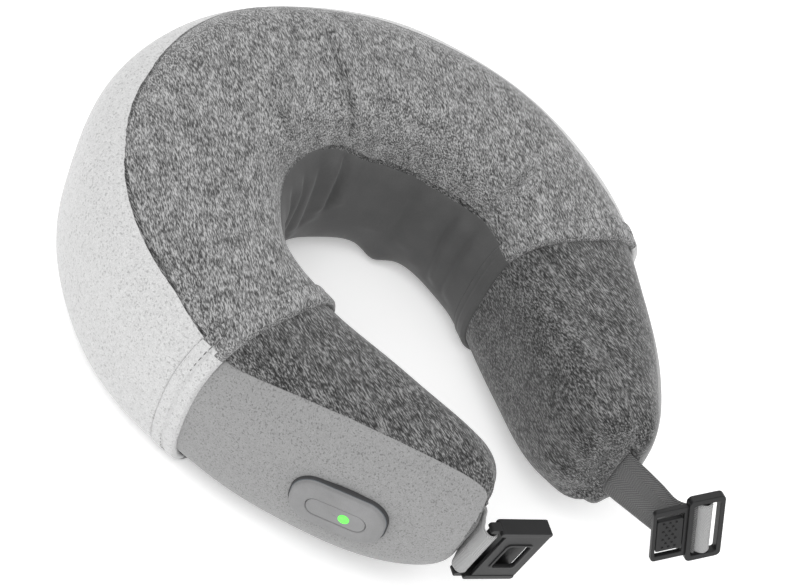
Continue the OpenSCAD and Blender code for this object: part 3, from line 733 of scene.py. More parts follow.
class Finishes:
    """Every finish of the object, made once and handed out by name."""

    def __init__(self) -> None:
        """Builds all the materials."""
        black = (0.009, 0.009, 0.0095)
        makers = [
            MelangeKnit("melange_light", 0.48, 0.63, 0.34, 0.36),
            HeatherKnit("heather_mid", 0.04, 0.175, 0.42, math.radians(16.0)),
            HeatherKnit("heather_dark", 0.016, 0.072, 0.26),
            MelangeKnit("melange_mid", 0.225, 0.345, 0.15, 0.37, 0.42 * MM, 0.8),
            StretchKnit("stretch_smooth", 0.070, 0.105),
            TwillWebbing("webbing_dark", 0.035, 0.16),
            # Paler webbing: the left strap's own tone, and on the right strap's fold round the bar a painted
            # highlight on the dark webbing.
            TwillWebbing("webbing_light", 0.22, 0.50, 0.9 * MM, 15.0 * MM, 0.42),
            Moulded("buckle_black", black, 0.42),
            Moulded("pod_grey", (0.24, 0.24, 0.242), 0.55, 0.4 * MM, 0.04 * MM),
            # Near-black fill for the gap round the control pad: painted shade.
            Moulded("pod_gap", (0.05, 0.05, 0.052), 0.7),
            Moulded("abs_grey", (0.16, 0.175, 0.19), 0.45),
            Moulded("nylon_white", (0.78, 0.75, 0.66), 0.4),
            Moulded("acetal_worm", (0.62, 0.38, 0.10), 0.35),
            Moulded("head_blue", (0.10, 0.20, 0.30), 0.6, 0.6 * MM, 0.06 * MM),
            Moulded("black_part", black, 0.5),
            Moulded("cell_blue", (0.03, 0.09, 0.40), 0.25, coat=0.5),
            Moulded("wire_black", (0.015, 0.015, 0.016), 0.45),
            Moulded("wire_red", (0.38, 0.02, 0.02), 0.45),
            Moulded("stitch_thread", (0.12, 0.12, 0.12), 0.8),
            Metal("steel", (0.62, 0.62, 0.64), 0.3),
            Metal("bronze", (0.55, 0.33, 0.14), 0.38),
            Foam(), BoardMask(), LitLens(),
        ]
        self._made = {m.name: m.material() for m in makers}

    def __getitem__(self, name: str) -> bpy.types.Material:
        """The material of that name."""
        return self._made[name]


# ---- Repeated details ----------------------------------------------------------------------
class BeadRow:
    """Geometry Nodes tree that sets small beads along a line or on points."""

    def __init__(self, name: str, along_line: bool) -> None:
        """Builds the tree.

        Args:
            name: Name of the tree.
            along_line: Whether it spaces beads along a line of edges, or sets one on each point.
        """
        self.tree = bpy.data.node_groups.new(name, "GeometryNodeTree")
        face = self.tree.interface
        face.new_socket("Geometry", in_out="INPUT", socket_type="NodeSocketGeometry")
        self.sockets = {
            label: face.new_socket(label, in_out="INPUT", socket_type=kind).identifier
            for label, kind in (("Pitch", "NodeSocketFloat"), ("Length", "NodeSocketFloat"),
                                ("Radius", "NodeSocketFloat"), ("Finish", "NodeSocketMaterial"))}
        face.new_socket("Geometry", in_out="OUTPUT", socket_type="NodeSocketGeometry")
        nodes, link = self.tree.nodes, self.tree.links.new
        given, made = nodes.new("NodeGroupInput"), nodes.new("NodeGroupOutput")
        bead = nodes.new("GeometryNodeMeshUVSphere")
        bead.inputs["Segments"].default_value = 8
        bead.inputs["Rings"].default_value = 5
        bead.inputs["Radius"].default_value = 1.0
        size = nodes.new("ShaderNodeCombineXYZ")
        link(given.outputs["Radius"], size.inputs["X"])
        link(given.outputs["Radius"], size.inputs["Y"])
        link(given.outputs["Length"], size.inputs["Z"])
        spread = nodes.new("GeometryNodeInstanceOnPoints")
        link(bead.outputs["Mesh"], spread.inputs["Instance"])
        link(size.outputs["Vector"], spread.inputs["Scale"])
        if along_line:
            line = nodes.new("GeometryNodeMeshToCurve")
            link(given.outputs["Geometry"], line.inputs["Mesh"])
            steps = nodes.new("GeometryNodeResampleCurve")
            steps.mode = "LENGTH"
            link(line.outputs["Curve"], steps.inputs["Curve"])
            link(given.outputs["Pitch"], steps.inputs["Length"])
            link(steps.outputs["Curve"], spread.inputs["Points"])
            way = nodes.new("GeometryNodeInputTangent")
            turn = nodes.new("FunctionNodeAlignRotationToVector")
            turn.axis = "Z"
            link(way.outputs["Tangent"], turn.inputs["Vector"])
            link(turn.outputs["Rotation"], spread.inputs["Rotation"])
        else:
            link(given.outputs["Geometry"], spread.inputs["Points"])
        real = nodes.new("GeometryNodeRealizeInstances")
        dress = nodes.new("GeometryNodeSetMaterial")
        link(spread.outputs["Instances"], real.inputs["Geometry"])
        link(real.outputs["Geometry"], dress.inputs["Geometry"])
        link(given.outputs["Finish"], dress.inputs["Material"])
        link(dress.outputs["Geometry"], made.inputs["Geometry"])

    def run(self, name: str, points: Points, lines: Sequence[tuple[int, int]], radius: float, length: float,
            finish: bpy.types.Material, pitch: float = 1.0) -> bpy.types.Object:
        """Runs the tree on some points and bakes the result.

        Args:
            name: Name of the piece.
            points: Where the beads lie, or the line's points.
            lines: Edges between the points.
            radius: Half thickness of a bead.
            length: Half length of a bead along the line.
            finish: Its material.
            pitch: Distance between beads along the line.

        Returns:
            The baked piece.
        """
        mesh = bpy.data.meshes.new(name)
        mesh.from_pydata([tuple(p) for p in points.tolist()], list(lines), [])
        piece = bpy.data.objects.new(name, mesh)
        bpy.context.scene.collection.objects.link(piece)
        row = piece.modifiers.new("beads", "NODES")
        row.node_group = self.tree
        values = {"Pitch": pitch, "Length": length, "Radius": radius, "Finish": finish}
        for label, value in values.items():
            row[self.sockets[label]] = value
        bake(piece)
        piece.data.polygons.foreach_set("use_smooth", [True] * len(piece.data.polygons))
        return piece


# ---- Fabric panels -------------------------------------------------------------------------
@dataclass
class FabricWork:
    """What every fabric piece shares: the surface, the drape and the finishes."""

    shape: PillowShape
    drape: Drape
    finishes: Finishes
    crown: float = 1.5 * MM
    crown_reach: float = 9.0 * MM
    tuck: float = 0.5 * MM
    tuck_reach: float = 1.0 * MM
    pucker: float = 0.05 * MM
    pucker_step: float = 9.0 * MM
    stitch_in: float = 7.0 * MM
    groove: float = 0.9 * MM
    groove_w: float = 0.8 * MM

    def panel(self, name: str, stations: Points, low: Callable, high: Callable, depth: float,
              thickness: float, cols: int, tip: Side | None = None, slant: float = 0.0,
              ends_tucked: bool = True, closed_ring: bool = False, roll: float = 0.0) -> bpy.types.Object:
        """Builds one cut of fabric between two seams.

        Args:
            name: Name of the piece.
            stations: Stations of its rows, rising in size from its first row.
            low: Angle of its lower seam, as a function of station.
            high: Angle of its upper seam, as a function of station.
            depth: Depth of its face below the pillow's surface.
            thickness: Thickness of the fabric.
            cols: Number of steps between the seams.
            tip: The side whose tip the panel turns into, if it reaches one.
            slant: How much earlier a row ends on the outside than at the neck, as a station.
            ends_tucked: Whether the last row is sewn down.
            closed_ring: Whether the panel goes all the way round.
            roll: How far the last rows bulge, as a folded hem does.

        Returns:
            The piece, with a UV map in metres.
        """
        f = np.linspace(0, 1, cols + 1)[:-1] if closed_ring else refined(cols, 4.0 / max(cols, 20))
        base, share = np.meshgrid(stations, f, indexing="ij")
        angle = low(base) + share * (high(base) - low(base))
        s = base - np.sign(base) * slant * np.cos(np.radians(angle)) * ease(np.abs(base) / 0.6)
        grid = self.shape.skin(s, angle, depth)
        middle = self.shape.centre(s)
        middle[..., 2] = self.shape.mid_z(s)
        normals = grid_normals(grid, middle)
        step = np.linalg.norm(np.diff(grid, axis=1), axis=-1)
        across = np.concatenate([np.zeros((len(stations), 1)), np.cumsum(step, axis=1)], axis=1)
        run = np.linalg.norm(np.diff(grid, axis=0), axis=-1)
        along = np.concatenate([np.zeros((1, len(f))), np.cumsum(run, axis=0)], axis=0)
        seam = np.full_like(across, 1.0) if closed_ring else np.minimum(across, across[:, -1:] - across)
        end = along[-1:] - along if ends_tucked else np.full_like(along, 1.0)
        edge = np.minimum(seam, end)
        rise = self.drape.rise(self.shape, s, angle)
        rise = rise + self.crown * (1.0 - np.exp(-(seam / self.crown_reach) ** 2))
        pull = np.exp(-(seam / (3.0 * self.tuck_reach)) ** 2)
        beat = 2.0 * np.pi * along / self.pucker_step + 3.0 * np.sin(40.0 * s)
        rise = rise + self.pucker * pull * np.sin(beat)
        rise = np.maximum(rise, self.drape.lowest)
        rise = rise * ease(edge / (2.0 * self.tuck_reach) + 0.25)
        rise = rise - self.tuck * np.exp(-(edge / self.tuck_reach) ** 2)
        if roll > 0:
            rise = rise + roll * np.sqrt(np.clip(1.0 - (2.0 * along / along[-1:] - 1.0) ** 4, 0.0, 1.0))
            deep = self.groove * (0.35 + 0.65 * ease((np.cos(np.radians(angle)) - 0.55) / 0.2))
            rise = rise - deep * np.exp(-((along[-1:] - along - self.stitch_in) / self.groove_w) ** 2)
        face = grid + normals * rise[..., None]
        if tip is not None:
            face, normals = self.turn_in(face, normals, tip)
        back = face - normals * thickness
        face[..., 2] = np.maximum(face[..., 2], 0.0)
        back[..., 2] = np.maximum(back[..., 2], thickness * 0.8)
        return self.close_panel(name, face, back, closed_ring)

    def turn_in(self, face: Points, normals: Points, side: Side) -> tuple[Points, Points]:
        """Adds the rows that turn into the slit of a tip.

        Args:
            face: Grid of the fabric's face, whose last row lies round the slit.
            normals: Its normals.
            side: The side of the tip.

        Returns:
            The longer grid and its normals.
        """
        middle = np.array(self.shape.tip_at(side, 0.0))
        out = np.array(self.shape.tip_dir(side))
        wide = self.shape.out_dir(np.array(float(side.value)))
        rim = face[-1] - middle
        x, z, y = rim @ wide, rim[:, 2], rim @ out
        rows, lean = [], []
        for narrow, short, sink in ((0.86, 0.97, 0.2 * MM), (0.62, 0.93, 1.0 * MM), (0.48, 0.90, 3.0 * MM),
                                    (0.44, 0.88, 7.0 * MM)):
            row = middle + np.outer(x * narrow, wide) + np.outer(y - sink, out)
            row[:, 2] += z * short
            rows.append(row)
            ahead = normals[-1] * narrow + out * (1.0 - narrow)
            lean.append(ahead / np.linalg.norm(ahead, axis=1, keepdims=True))
        return np.concatenate([face, np.array(rows)]), np.concatenate([normals, np.array(lean)])

    def close_panel(self, name: str, face: Points, back: Points, ring: bool) -> bpy.types.Object:
        """Joins the two faces of a cut of fabric along their edges.

        Args:
            name: Name of the piece.
            face: Grid of points on the outside.
            back: Grid of points on the inside.
            ring: Whether each row closes on itself.

        Returns:
            The closed piece.
        """
        rows, cols = face.shape[:2]
        count = rows * cols
        outer = sheet_faces(rows, cols, 0, ring)
        inner = sheet_faces(rows, cols, count, ring)[:, ::-1]
        index = np.arange(count).reshape(rows, cols)
        rims = [index[0], index[-1][::-1]] if ring else [
            np.concatenate([index[0], index[1:, -1], index[-1, -2::-1], index[-2:0:-1, 0]])]
        faces = [outer, inner]
        for rim in rims:
            ahead = np.roll(rim, -1)
            faces.append(np.stack([rim, ahead, ahead + count, rim + count], axis=-1))
        points = np.concatenate([face.reshape(-1, 3), back.reshape(-1, 3)])
        piece = mesh_piece(name, points, np.concatenate(faces))
        u = np.cumsum(np.linalg.norm(np.diff(face, axis=0, prepend=face[:1]), axis=-1), axis=0)
        v = np.cumsum(np.linalg.norm(np.diff(face, axis=1, prepend=face[:, :1]), axis=-1), axis=1)
        set_uv(piece, np.tile(u.ravel(), 2), np.tile(v.ravel(), 2))
        return piece

    def dress(self, piece: bpy.types.Object, finish: str, node: str, fill: float = 0.7,
              slot: str | None = None) -> bpy.types.Object:
        """Gives a padded fabric piece its finish and its place in the frame."""
        piece.data.materials.append(self.finishes[finish])
        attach(piece, Body.PILLOW.value)
        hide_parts(node)
        LOG.info("%s: %d faces", piece.name, len(piece.data.polygons))
        return piece


def always(value: float) -> Callable[[Points], Points]:
    """A function of station that has the same value everywhere."""
    return lambda s: np.full_like(s, value)


@dataclass
class Sleeve:
    """The removable sleeve round the back of the pillow."""

    work: FabricWork
    end: float = 0.635
    hem_w: float = 12.0 * MM
    thickness: float = 1.2 * MM
    slant: float = 0.018
    low_edge: float = 52.0
    outer_edge: Callable[[Points], Points] = ramp(
        [(0, 43.4), (0.08, 48.1), (0.2, 54), (0.34, 53.3), (0.53, 52.3), (0.634, 44.1)])
    top_edge: Callable[[Points], Points] = ramp(
        [(-0.6, 142), (-0.2, 140.7), (0, 144), (0.126, 152.4), (0.34, 153.2), (0.52, 145.3), (0.6, 142.6)],
        even=False)
    neck_edge: float = 235.0
    roll: float = 0.3 * MM
    rows: int = 380

    @property
    def hem_start(self) -> float:
        """Station where the hems begin."""
        return self.end - self.hem_w / self.work.shape.half_len

    def build(self) -> None:
        """Builds the four panels, the two hems and the cover beneath."""
        stations = np.linspace(-self.hem_start, self.hem_start, self.rows)
        cuts = (
            ("sleeve_outer_panel", "melange_light", always(-self.low_edge), self.outer_edge, 44),
            ("sleeve_top_panel", "heather_mid", self.outer_edge, self.top_edge, 48),
            ("sleeve_neck_panel", "stretch_smooth", self.top_edge, always(self.neck_edge), 40),
            ("sleeve_bottom_panel", "heather_mid", always(self.neck_edge), always(360.0 - self.low_edge), 36),
        )
        for node, finish, low, high, cols in cuts:
            piece = self.work.panel(node.replace("_panel", "_cloth"), stations, low, high, 0.0,
                                    self.thickness, cols, slant=self.slant, ends_tucked=False)
            self.work.dress(piece, finish, node)
        piece = self.work.panel("inner_cover_cloth", stations, always(0.0), always(360.0),
                                self.thickness + 0.3 * MM, 0.8 * MM, 90, slant=self.slant, ends_tucked=False,
                                closed_ring=True)
        self.work.dress(piece, "heather_dark", "base_cover_middle")
        for side in Side:
            self.build_hem(side)

    def build_hem(self, side: Side) -> None:
        """Builds one double-folded hem, coloured as the panels that it ends, and its stitches."""
        gap = 0.15 * MM / self.work.shape.half_len
        steps = self.hem_start + gap + (self.end - self.hem_start - gap) * refined(18, 0.18)
        piece = self.work.panel(f"sleeve_hem_{side.label}_cloth", side.value * steps, always(0.0),
                                always(360.0), -0.1 * MM, 1.7 * MM, 150, slant=self.slant, closed_ring=True,
                                roll=self.roll)
        for finish in ("melange_light", "heather_mid", "stretch_smooth"):
            piece.data.materials.append(self.work.finishes[finish])
        for face in piece.data.polygons:
            face.material_index = self.colour_at(face.center, side)
        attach(piece, Body.PILLOW.value)
        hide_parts(f"sleeve_hem_{side.label}")
        self.stitch(side)

    def colour_at(self, place: Vector, side: Side) -> int:
        """Index of the finish that the hem has at a place on it."""
        s = np.array(side.value * (self.hem_start + self.end) / 2.0)
        middle, out = self.work.shape.centre(s), self.work.shape.out_dir(s)
        reach = (np.array(place) - middle) @ out
        angle = math.degrees(math.atan2(place.z - float(self.work.shape.mid_z(s)), reach)) % 360.0
        if angle < self.outer_edge(s) or angle > 360.0 - self.low_edge:
            return 0
        return 2 if self.top_edge(s) < angle < self.neck_edge else 1

    def stitch(self, side: Side) -> None:
        """Sews one row of stitches round a hem."""
        at = self.end - self.work.stitch_in / self.work.shape.half_len
        angle = np.linspace(0.0, 360.0, 181)[:-1]
        s = side.value * (at - self.slant * np.cos(np.radians(angle)))
        high = self.work.crown + self.roll - 0.5 * self.work.groove
        line = self.work.shape.skin(s, angle, -high - self.work.drape.rise(self.work.shape, s, angle))
        keep = line[:, 2] > 3.0 * MM
        first = int(np.argmax(~keep)) if (~keep).any() else 0
        line, keep = np.roll(line, -first, axis=0), np.roll(keep, -first)
        line = line[keep]
        edges = [(i, i + 1) for i in range(len(line) - 1)]
        row = BeadRow(f"hem_stitches_{side.label}", True)
        piece = row.run(f"hem_stitches_{side.label}", line, edges, 0.28 * MM, 1.25 * MM,
                        self.work.finishes["stitch_thread"], 3.4 * MM)
        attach(piece, Body.PILLOW.value)
        LOG.info("%s: %d faces", piece.name, len(piece.data.polygons))


@dataclass
class ArmCover:
    """The sewn cover of one arm: a pale side panel, a dark top and a dark inner panel."""

    work: FabricWork
    side: Side
    side_edge: Callable[[Points], Points]
    top_edge: Callable[[Points], Points]
    start: float = 0.58
    depth: float = 2.0 * MM
    thickness: float = 1.0 * MM

    def stations(self) -> Points:
        """Stations of the rows, closer together where the tip closes."""
        shape = self.work.shape
        straight = np.linspace(self.start, shape.close_from + 0.10, 34)
        first = math.asin(0.10 / (1.0 - shape.close_from))
        turn = np.linspace(first, math.pi / 2.0, 46)[1:]
        close = shape.close_from + (1.0 - shape.close_from) * np.sin(turn)
        return self.side.value * np.concatenate([straight, close])

    def build(self) -> None:
        """Builds the three panels, whose lips are dark inside the slit."""
        name = self.side.label
        lip, out = self.work.shape.tip_at(self.side, -0.7 * MM), self.work.shape.tip_dir(self.side)
        cuts = (
            ("side", "melange_mid", lambda s: -self.side_edge(s), self.side_edge, 50),
            ("top", "heather_dark", self.side_edge, self.top_edge, 30),
            ("inner", "heather_dark", self.top_edge, lambda s: 360.0 - self.side_edge(s), 70),
        )
        for cut, finish, low, high, cols in cuts:
            piece = self.work.panel(f"{name}_arm_{cut}_cloth", self.stations(), low, high, self.depth,
                                    self.thickness, cols, tip=self.side)
            self.work.dress(piece, finish, f"{name}_arm_{cut}_panel")
            piece.data.materials.append(self.work.finishes["heather_dark"])
            for face in piece.data.polygons:
                face.material_index = int((face.center - lip).dot(out) > 0.0)


# ---- Moulded parts -------------------------------------------------------------------------
def local_frame(place: Sequence[float], along: Sequence[float], across: Sequence[float]) -> Matrix:
    """Matrix of a frame with x along one direction and y leaning to another, as the model sets it."""
    x = Vector(along).normalized()
    z = x.cross(Vector(across)).normalized()
    y = z.cross(x)
    spin = Matrix((x, y, z)).transposed().to_4x4()
    return Matrix.Translation(Vector(place)) @ spin


def rounded_loop(length: float, height: float, radius: float, steps: int = 6,
                 centre: tuple[float, float] = (0.0, 0.0)) -> Points:
    """Corner-rounded rectangle as a loop of points, anticlockwise."""
    loop = []
    for k, (cx, cy) in enumerate(((1, 1), (-1, 1), (-1, -1), (1, -1))):
        for i in range(steps + 1):
            a = math.pi / 2 * (k + i / steps)
            loop.append((centre[0] + cx * (length / 2 - radius) + radius * math.cos(a),
                         centre[1] + cy * (height / 2 - radius) + radius * math.sin(a)))
    return np.array(loop)


class Moulding:
    """Collects plates, frames and bars in a local frame and turns them into one bevelled piece."""

    def __init__(self, name: str, place: Matrix) -> None:
        """Starts an empty piece in a local frame."""
        self.name = name
        self.place = place
        self.points: list[Points] = []
        self.faces: list[tuple[int, ...]] = []

    def _add(self, points: Points, faces: Iterable[Sequence[int]]) -> None:
        """Adds one closed shell with its faces turned outwards."""
        faces = [tuple(f) for f in faces]
        if signed_volume(points, faces) < 0:
            faces = [f[::-1] for f in faces]
        first = sum(len(p) for p in self.points)
        self.points.append(points)
        self.faces += [tuple(i + first for i in f) for f in faces]

    def plate(self, loop: Points, low: float, high: float) -> None:
        """Adds a solid plate with that outline between two heights."""
        n = len(loop)
        points = np.concatenate([np.c_[loop, np.full(n, z)] for z in (low, high)])
        faces = [tuple(range(n))[::-1], tuple(range(n, 2 * n))]
        faces += [(i, (i + 1) % n, n + (i + 1) % n, n + i) for i in range(n)]
        self._add(points, faces)

    def ring(self, outer: Points, inner: Points, low: float, high: float) -> None:
        """Adds a plate with a window; both loops have the same number of points."""
        n = len(outer)
        points = np.concatenate([np.c_[loop, np.full(n, z)] for z in (low, high) for loop in (outer, inner)])
        faces = []
        for i in range(n):
            j = (i + 1) % n
            faces += [(i, j, n + j, n + i)[::-1], (2 * n + i, 2 * n + j, 3 * n + j, 3 * n + i),
                      (i, j, 2 * n + j, 2 * n + i), (n + i, n + j, 3 * n + j, 3 * n + i)[::-1]]
        self._add(points, faces)

    def rod(self, radius: float, half: float, sides: int = 20) -> None:
        """Adds a round bar along y."""
        a = np.linspace(0, 2 * np.pi, sides, endpoint=False)
        ends = [np.stack([radius * np.cos(a), np.full(sides, y), radius * np.sin(a)], axis=-1)
                for y in (-half, half)]
        faces = [tuple(range(sides)), tuple(range(sides, 2 * sides))[::-1]]
        faces += [(i, sides + i, sides + (i + 1) % sides, (i + 1) % sides) for i in range(sides)]
        self._add(np.concatenate(ends), faces)

    def piece(self, bevel: float, finish: bpy.types.Material, segments: int = 3) -> bpy.types.Object:
        """Makes the object, with its edges rounded.

        Args:
            bevel: Width of the rounding.
            finish: Its material.
            segments: Steps of the rounding.

        Returns:
            The object, at the origin, with its place in its mesh.
        """
        made = mesh_piece(self.name, np.concatenate(self.points), self.faces)
        made.data.transform(self.place)
        made.data.materials.append(finish)
        edge = made.modifiers.new("rounded_edges", "BEVEL")
        edge.width = bevel
        edge.segments = segments
        edge.limit_method = "ANGLE"
        edge.angle_limit = math.radians(50)
        edge.use_clamp_overlap = True
        edge.harden_normals = False
        made.modifiers.new("even_normals", "WEIGHTED_NORMAL").keep_sharp = True
        return made


@dataclass
class ControlPod:
    """Soft pad on the left arm with the power key and its lit lens."""

    work: FabricWork
    station: float = -0.84
    length: float = 44.5 * MM
    height: float = 24.5 * MM
    corner: float = 11.0 * MM
    proud: float = 4.0 * MM
    key_l: float = 28.0 * MM
    key_h: float = 10.0 * MM
    gap: float = 0.3 * MM

    def place(self) -> Matrix:
        """Frame on the outside of the left arm: x towards the tip, y up, z outwards."""
        run = 0.07
        at = [self.work.shape.skin(np.array(self.station + k), np.array(0.0)) for k in (0.0, -run, run)]
        return local_frame(at[0], at[1] - at[2], (0, 0, 1))

    def domed(self, name: str, outer: Points, inner: Points | None, low: float, high: float, edge: float,
              crown: float) -> bpy.types.Object:
        """Builds a soft plate whose rim rolls over and whose face swells a little.

        Args:
            name: Name of the piece.
            outer: Its outline.
            inner: Outline of its window, or nothing for a full face.
            low: Height of its underside.
            high: Height of its face at the rim's end.
            edge: Radius of the rolled rim.
            crown: How much the middle stands above the rim.

        Returns:
            The piece, in its place.
        """
        n = len(outer)
        centre = outer.mean(axis=0)
        size = np.abs(outer - centre).max(axis=0)
        rings = [np.c_[outer, np.full(n, low)]]
        for a in np.linspace(0.0, math.pi / 2.0, 7):
            inset = edge * (1.0 - math.cos(a))
            loop = centre + (outer - centre) * (1.0 - inset / size)
            rings.append(np.c_[loop, np.full(n, high - edge + edge * math.sin(a))])
        top = rings[-1][:, :2]
        end = inner if inner is not None else centre + (top - centre) * 0.02
        for share in np.linspace(0.0, 1.0, 10)[1:]:
            loop = top + (end - top) * share
            spread = np.clip(1.0 - np.max(np.abs((loop - centre) / size), axis=1) ** 2, 0.0, 1.0)
            rings.append(np.c_[loop, high + crown * spread])
        rings.append(np.c_[end, np.full(n, low)])
        points = np.concatenate(rings)
        faces = list(sheet_faces(len(rings), n, 0, True))
        last = (len(rings) - 1) * n
        faces += [(last + i, last + (i + 1) % n, (i + 1) % n, i) for i in range(n)]
        piece = mesh_piece(name, points, faces)
        piece.data.transform(self.place())
        return piece

    def build(self) -> None:
        """Builds the pad, the key and a dark ring of painted shade in the gap round the pad."""
        loop = rounded_loop(self.length, self.height, self.corner, 12)
        window = rounded_loop(self.key_l + 2 * self.gap, self.key_h + 2 * self.gap, self.key_h / 2, 12)
        key = rounded_loop(self.key_l, self.key_h, self.key_h / 2 - 0.1 * MM, 12)
        pad = self.domed("pod_pad", loop, window, 0.5 * MM, self.proud - 0.4 * MM, 2.2 * MM, 0.5 * MM)
        pad.data.materials.append(self.work.finishes["pod_grey"])
        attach(pad, Body.PILLOW.value)
        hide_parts("control_pad")
        cap = self.domed("power_key_cap", key, None, 0.8 * MM, self.proud - 0.1 * MM, 0.5 * MM, 0.1 * MM)
        cap.data.materials.append(self.work.finishes["pod_grey"])
        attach(cap, Body.KEY.value)
        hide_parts("power_key")
        # A dark ring fills the crevice between the pad and the cloth's seat as painted shade.
        rim = Moulding("pod_seat_rim", self.place())
        edge = rounded_loop(self.length + 1.6 * MM, self.height + 1.6 * MM, self.corner + 0.8 * MM, 12)
        rim.ring(edge, loop, -2.5 * MM, 0.3 * MM)
        seat = rim.piece(0.25 * MM, self.work.finishes["pod_gap"])
        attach(seat, Body.PILLOW.value)


@dataclass
class Webbing:
    """A length of webbing from inside a tip's slit to the bar of its buckle."""

    work: FabricWork
    side: Side
    bar: Vector
    along: Vector
    across: Vector
    finish: str
    width: float = 30.0 * MM
    thickness: float = 1.4 * MM
    bar_r: float = 1.8 * MM
    hinge_out: float = 1.6 * MM
    # Finish of the fold round the bar: a paler copy of the webbing that paints the highlight where light
    # falls on the wrap.
    fold_finish: str = ""

    @property
    def body(self) -> str:
        """Body that the webbing's free part rides on."""
        return f"{self.side.label}_webbing"

    def ribbon(self, name: str, line: Sequence[Vector], ways: Sequence[Vector], finish: str,
               steps: int = 4) -> bpy.types.Object:
        """Builds a woven band through points, with a way across it at each.

        Args:
            name: Name of the piece.
            line: Points along the band's middle.
            ways: Direction across the band at each point.
            finish: Name of its finish.
            steps: Extra points between each two.

        Returns:
            The closed band, with UV in metres along and across it.
        """
        at = np.array([list(p) for p in line])
        way = np.array([list(w.normalized()) for w in ways])
        knots = np.arange(len(at))
        fine = np.linspace(0, len(at) - 1, (len(at) - 1) * steps + 1)
        at = np.stack([smooth_through(knots, at[:, k], fine) for k in range(3)], axis=-1)
        way = np.stack([smooth_through(knots, way[:, k], fine) for k in range(3)], axis=-1)
        tangent = np.gradient(at, axis=0)
        tangent /= np.linalg.norm(tangent, axis=1, keepdims=True)
        way /= np.linalg.norm(way, axis=1, keepdims=True)
        up = np.cross(tangent, way)
        up /= np.linalg.norm(up, axis=1, keepdims=True)
        v = np.linspace(-1, 1, 25)
        edge = np.sqrt(np.clip(1.0 - (np.abs(v) - 0.93).clip(0) ** 2 / 0.07 ** 2, 0.03, 1.0))
        selvedge = 1.0 + 0.25 * np.exp(-((np.abs(v) - 0.9) / 0.05) ** 2)
        half = self.thickness / 2.0 * edge * selvedge * 0.92
        middle = at[:, None] + way[:, None] * (v * self.width / 2.0)[None, :, None]
        top = middle + up[:, None] * half[None, :, None]
        low = middle - up[:, None] * half[None, :, None]
        piece = self.work.close_panel(name, top, low, False)
        run = np.concatenate([[0.0], np.cumsum(np.linalg.norm(np.diff(at, axis=0), axis=1))])
        u = np.repeat(run, len(v))
        across = np.tile(v * self.width / 2.0 + self.width, len(run))
        piece.data.uv_layers.remove(piece.data.uv_layers[0])
        set_uv(piece, np.tile(u, 2), np.tile(across, 2))
        piece.data.materials.append(self.work.finishes[finish])
        return piece

    def build(self) -> None:
        """Builds the band, whose root bends at the slit, and its fold round the bar."""
        shape, up = self.work.shape, Vector((0, 0, 1))
        mouth = shape.tip_at(self.side, self.hinge_out)
        y = local_frame(self.bar, self.along, self.across).to_3x3() @ Vector((0, 1, 0))
        reach = mouth - self.bar
        reach = reach - reach.dot(y) * y
        length = reach.length
        ahead = reach.normalized()
        beside = y.cross(ahead)
        wrap_r = self.bar_r + 0.3 * MM + self.thickness / 2.0

        def at(x: float, z: float) -> Vector:
            """Point beside the bar: x towards the tip, z square to that."""
            return self.bar + ahead * x + beside * z

        turn = [at(wrap_r * math.cos(a), wrap_r * math.sin(a)) for a in np.radians([90, 130, 170, 210, 250])]
        legs = [at(1.8 * MM, -wrap_r), at(3.8 * MM, -wrap_r + 0.6 * MM)][:1 if length < 12.0 * MM else 2]
        lap = wrap_r + self.thickness if self.fold_finish else wrap_r
        near = at(0.28 * length, lap)
        line = [shape.tip_at(self.side, -6.0 * MM), shape.tip_at(self.side, -2.0 * MM), mouth]
        line += [mouth.lerp(near, f) for f in (0.35, 0.7, 1.0)]
        ways = [up, up, up, up.lerp(y, 0.35), up.lerp(y, 0.7), y]
        if self.fold_finish:
            fold = [at(6.0 * MM, wrap_r - 0.2 * MM), at(3.8 * MM, wrap_r), at(1.8 * MM, wrap_r)] + turn + legs
            end = [at(2.4 * MM, lap)]
        else:
            fold, end = [], turn + legs
        piece = self.ribbon(f"{self.side.label}_webbing_band", line + end, ways + [y] * len(end), self.finish)
        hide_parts(f"{self.side.label}_strap", f"{self.side.label}_strap_anchor")
        shape.tip_at(self.side, 0.0)
        shape.tip_at(self.side, 2.0 * self.hinge_out + 1.0 * MM)
        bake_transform(piece)
        if fold:
            # The fold is the same webbing as the band; its paler finish is painted highlight on the wrap
            # round the bar.
            wrap = self.ribbon(f"{self.side.label}_webbing_fold", fold, [y] * len(fold), self.fold_finish)
            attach(wrap, self.body)


def smooth_through(at: Points, values: Points, fine: Points) -> Points:
    """Catmull-Rom interpolation of values at whole-number knots."""
    padded = np.concatenate([[2 * values[0] - values[1]], values, [2 * values[-1] - values[-2]]])
    i = np.clip(fine.astype(int), 0, len(values) - 2)
    t = fine - i
    p0, p1, p2, p3 = padded[i], padded[i + 1], padded[i + 2], padded[i + 3]
    return 0.5 * (2 * p1 + (p2 - p0) * t + (2 * p0 - 5 * p1 + 4 * p2 - p3) * t ** 2
                  + (3 * p1 - p0 - 3 * p2 + p3) * t ** 3)


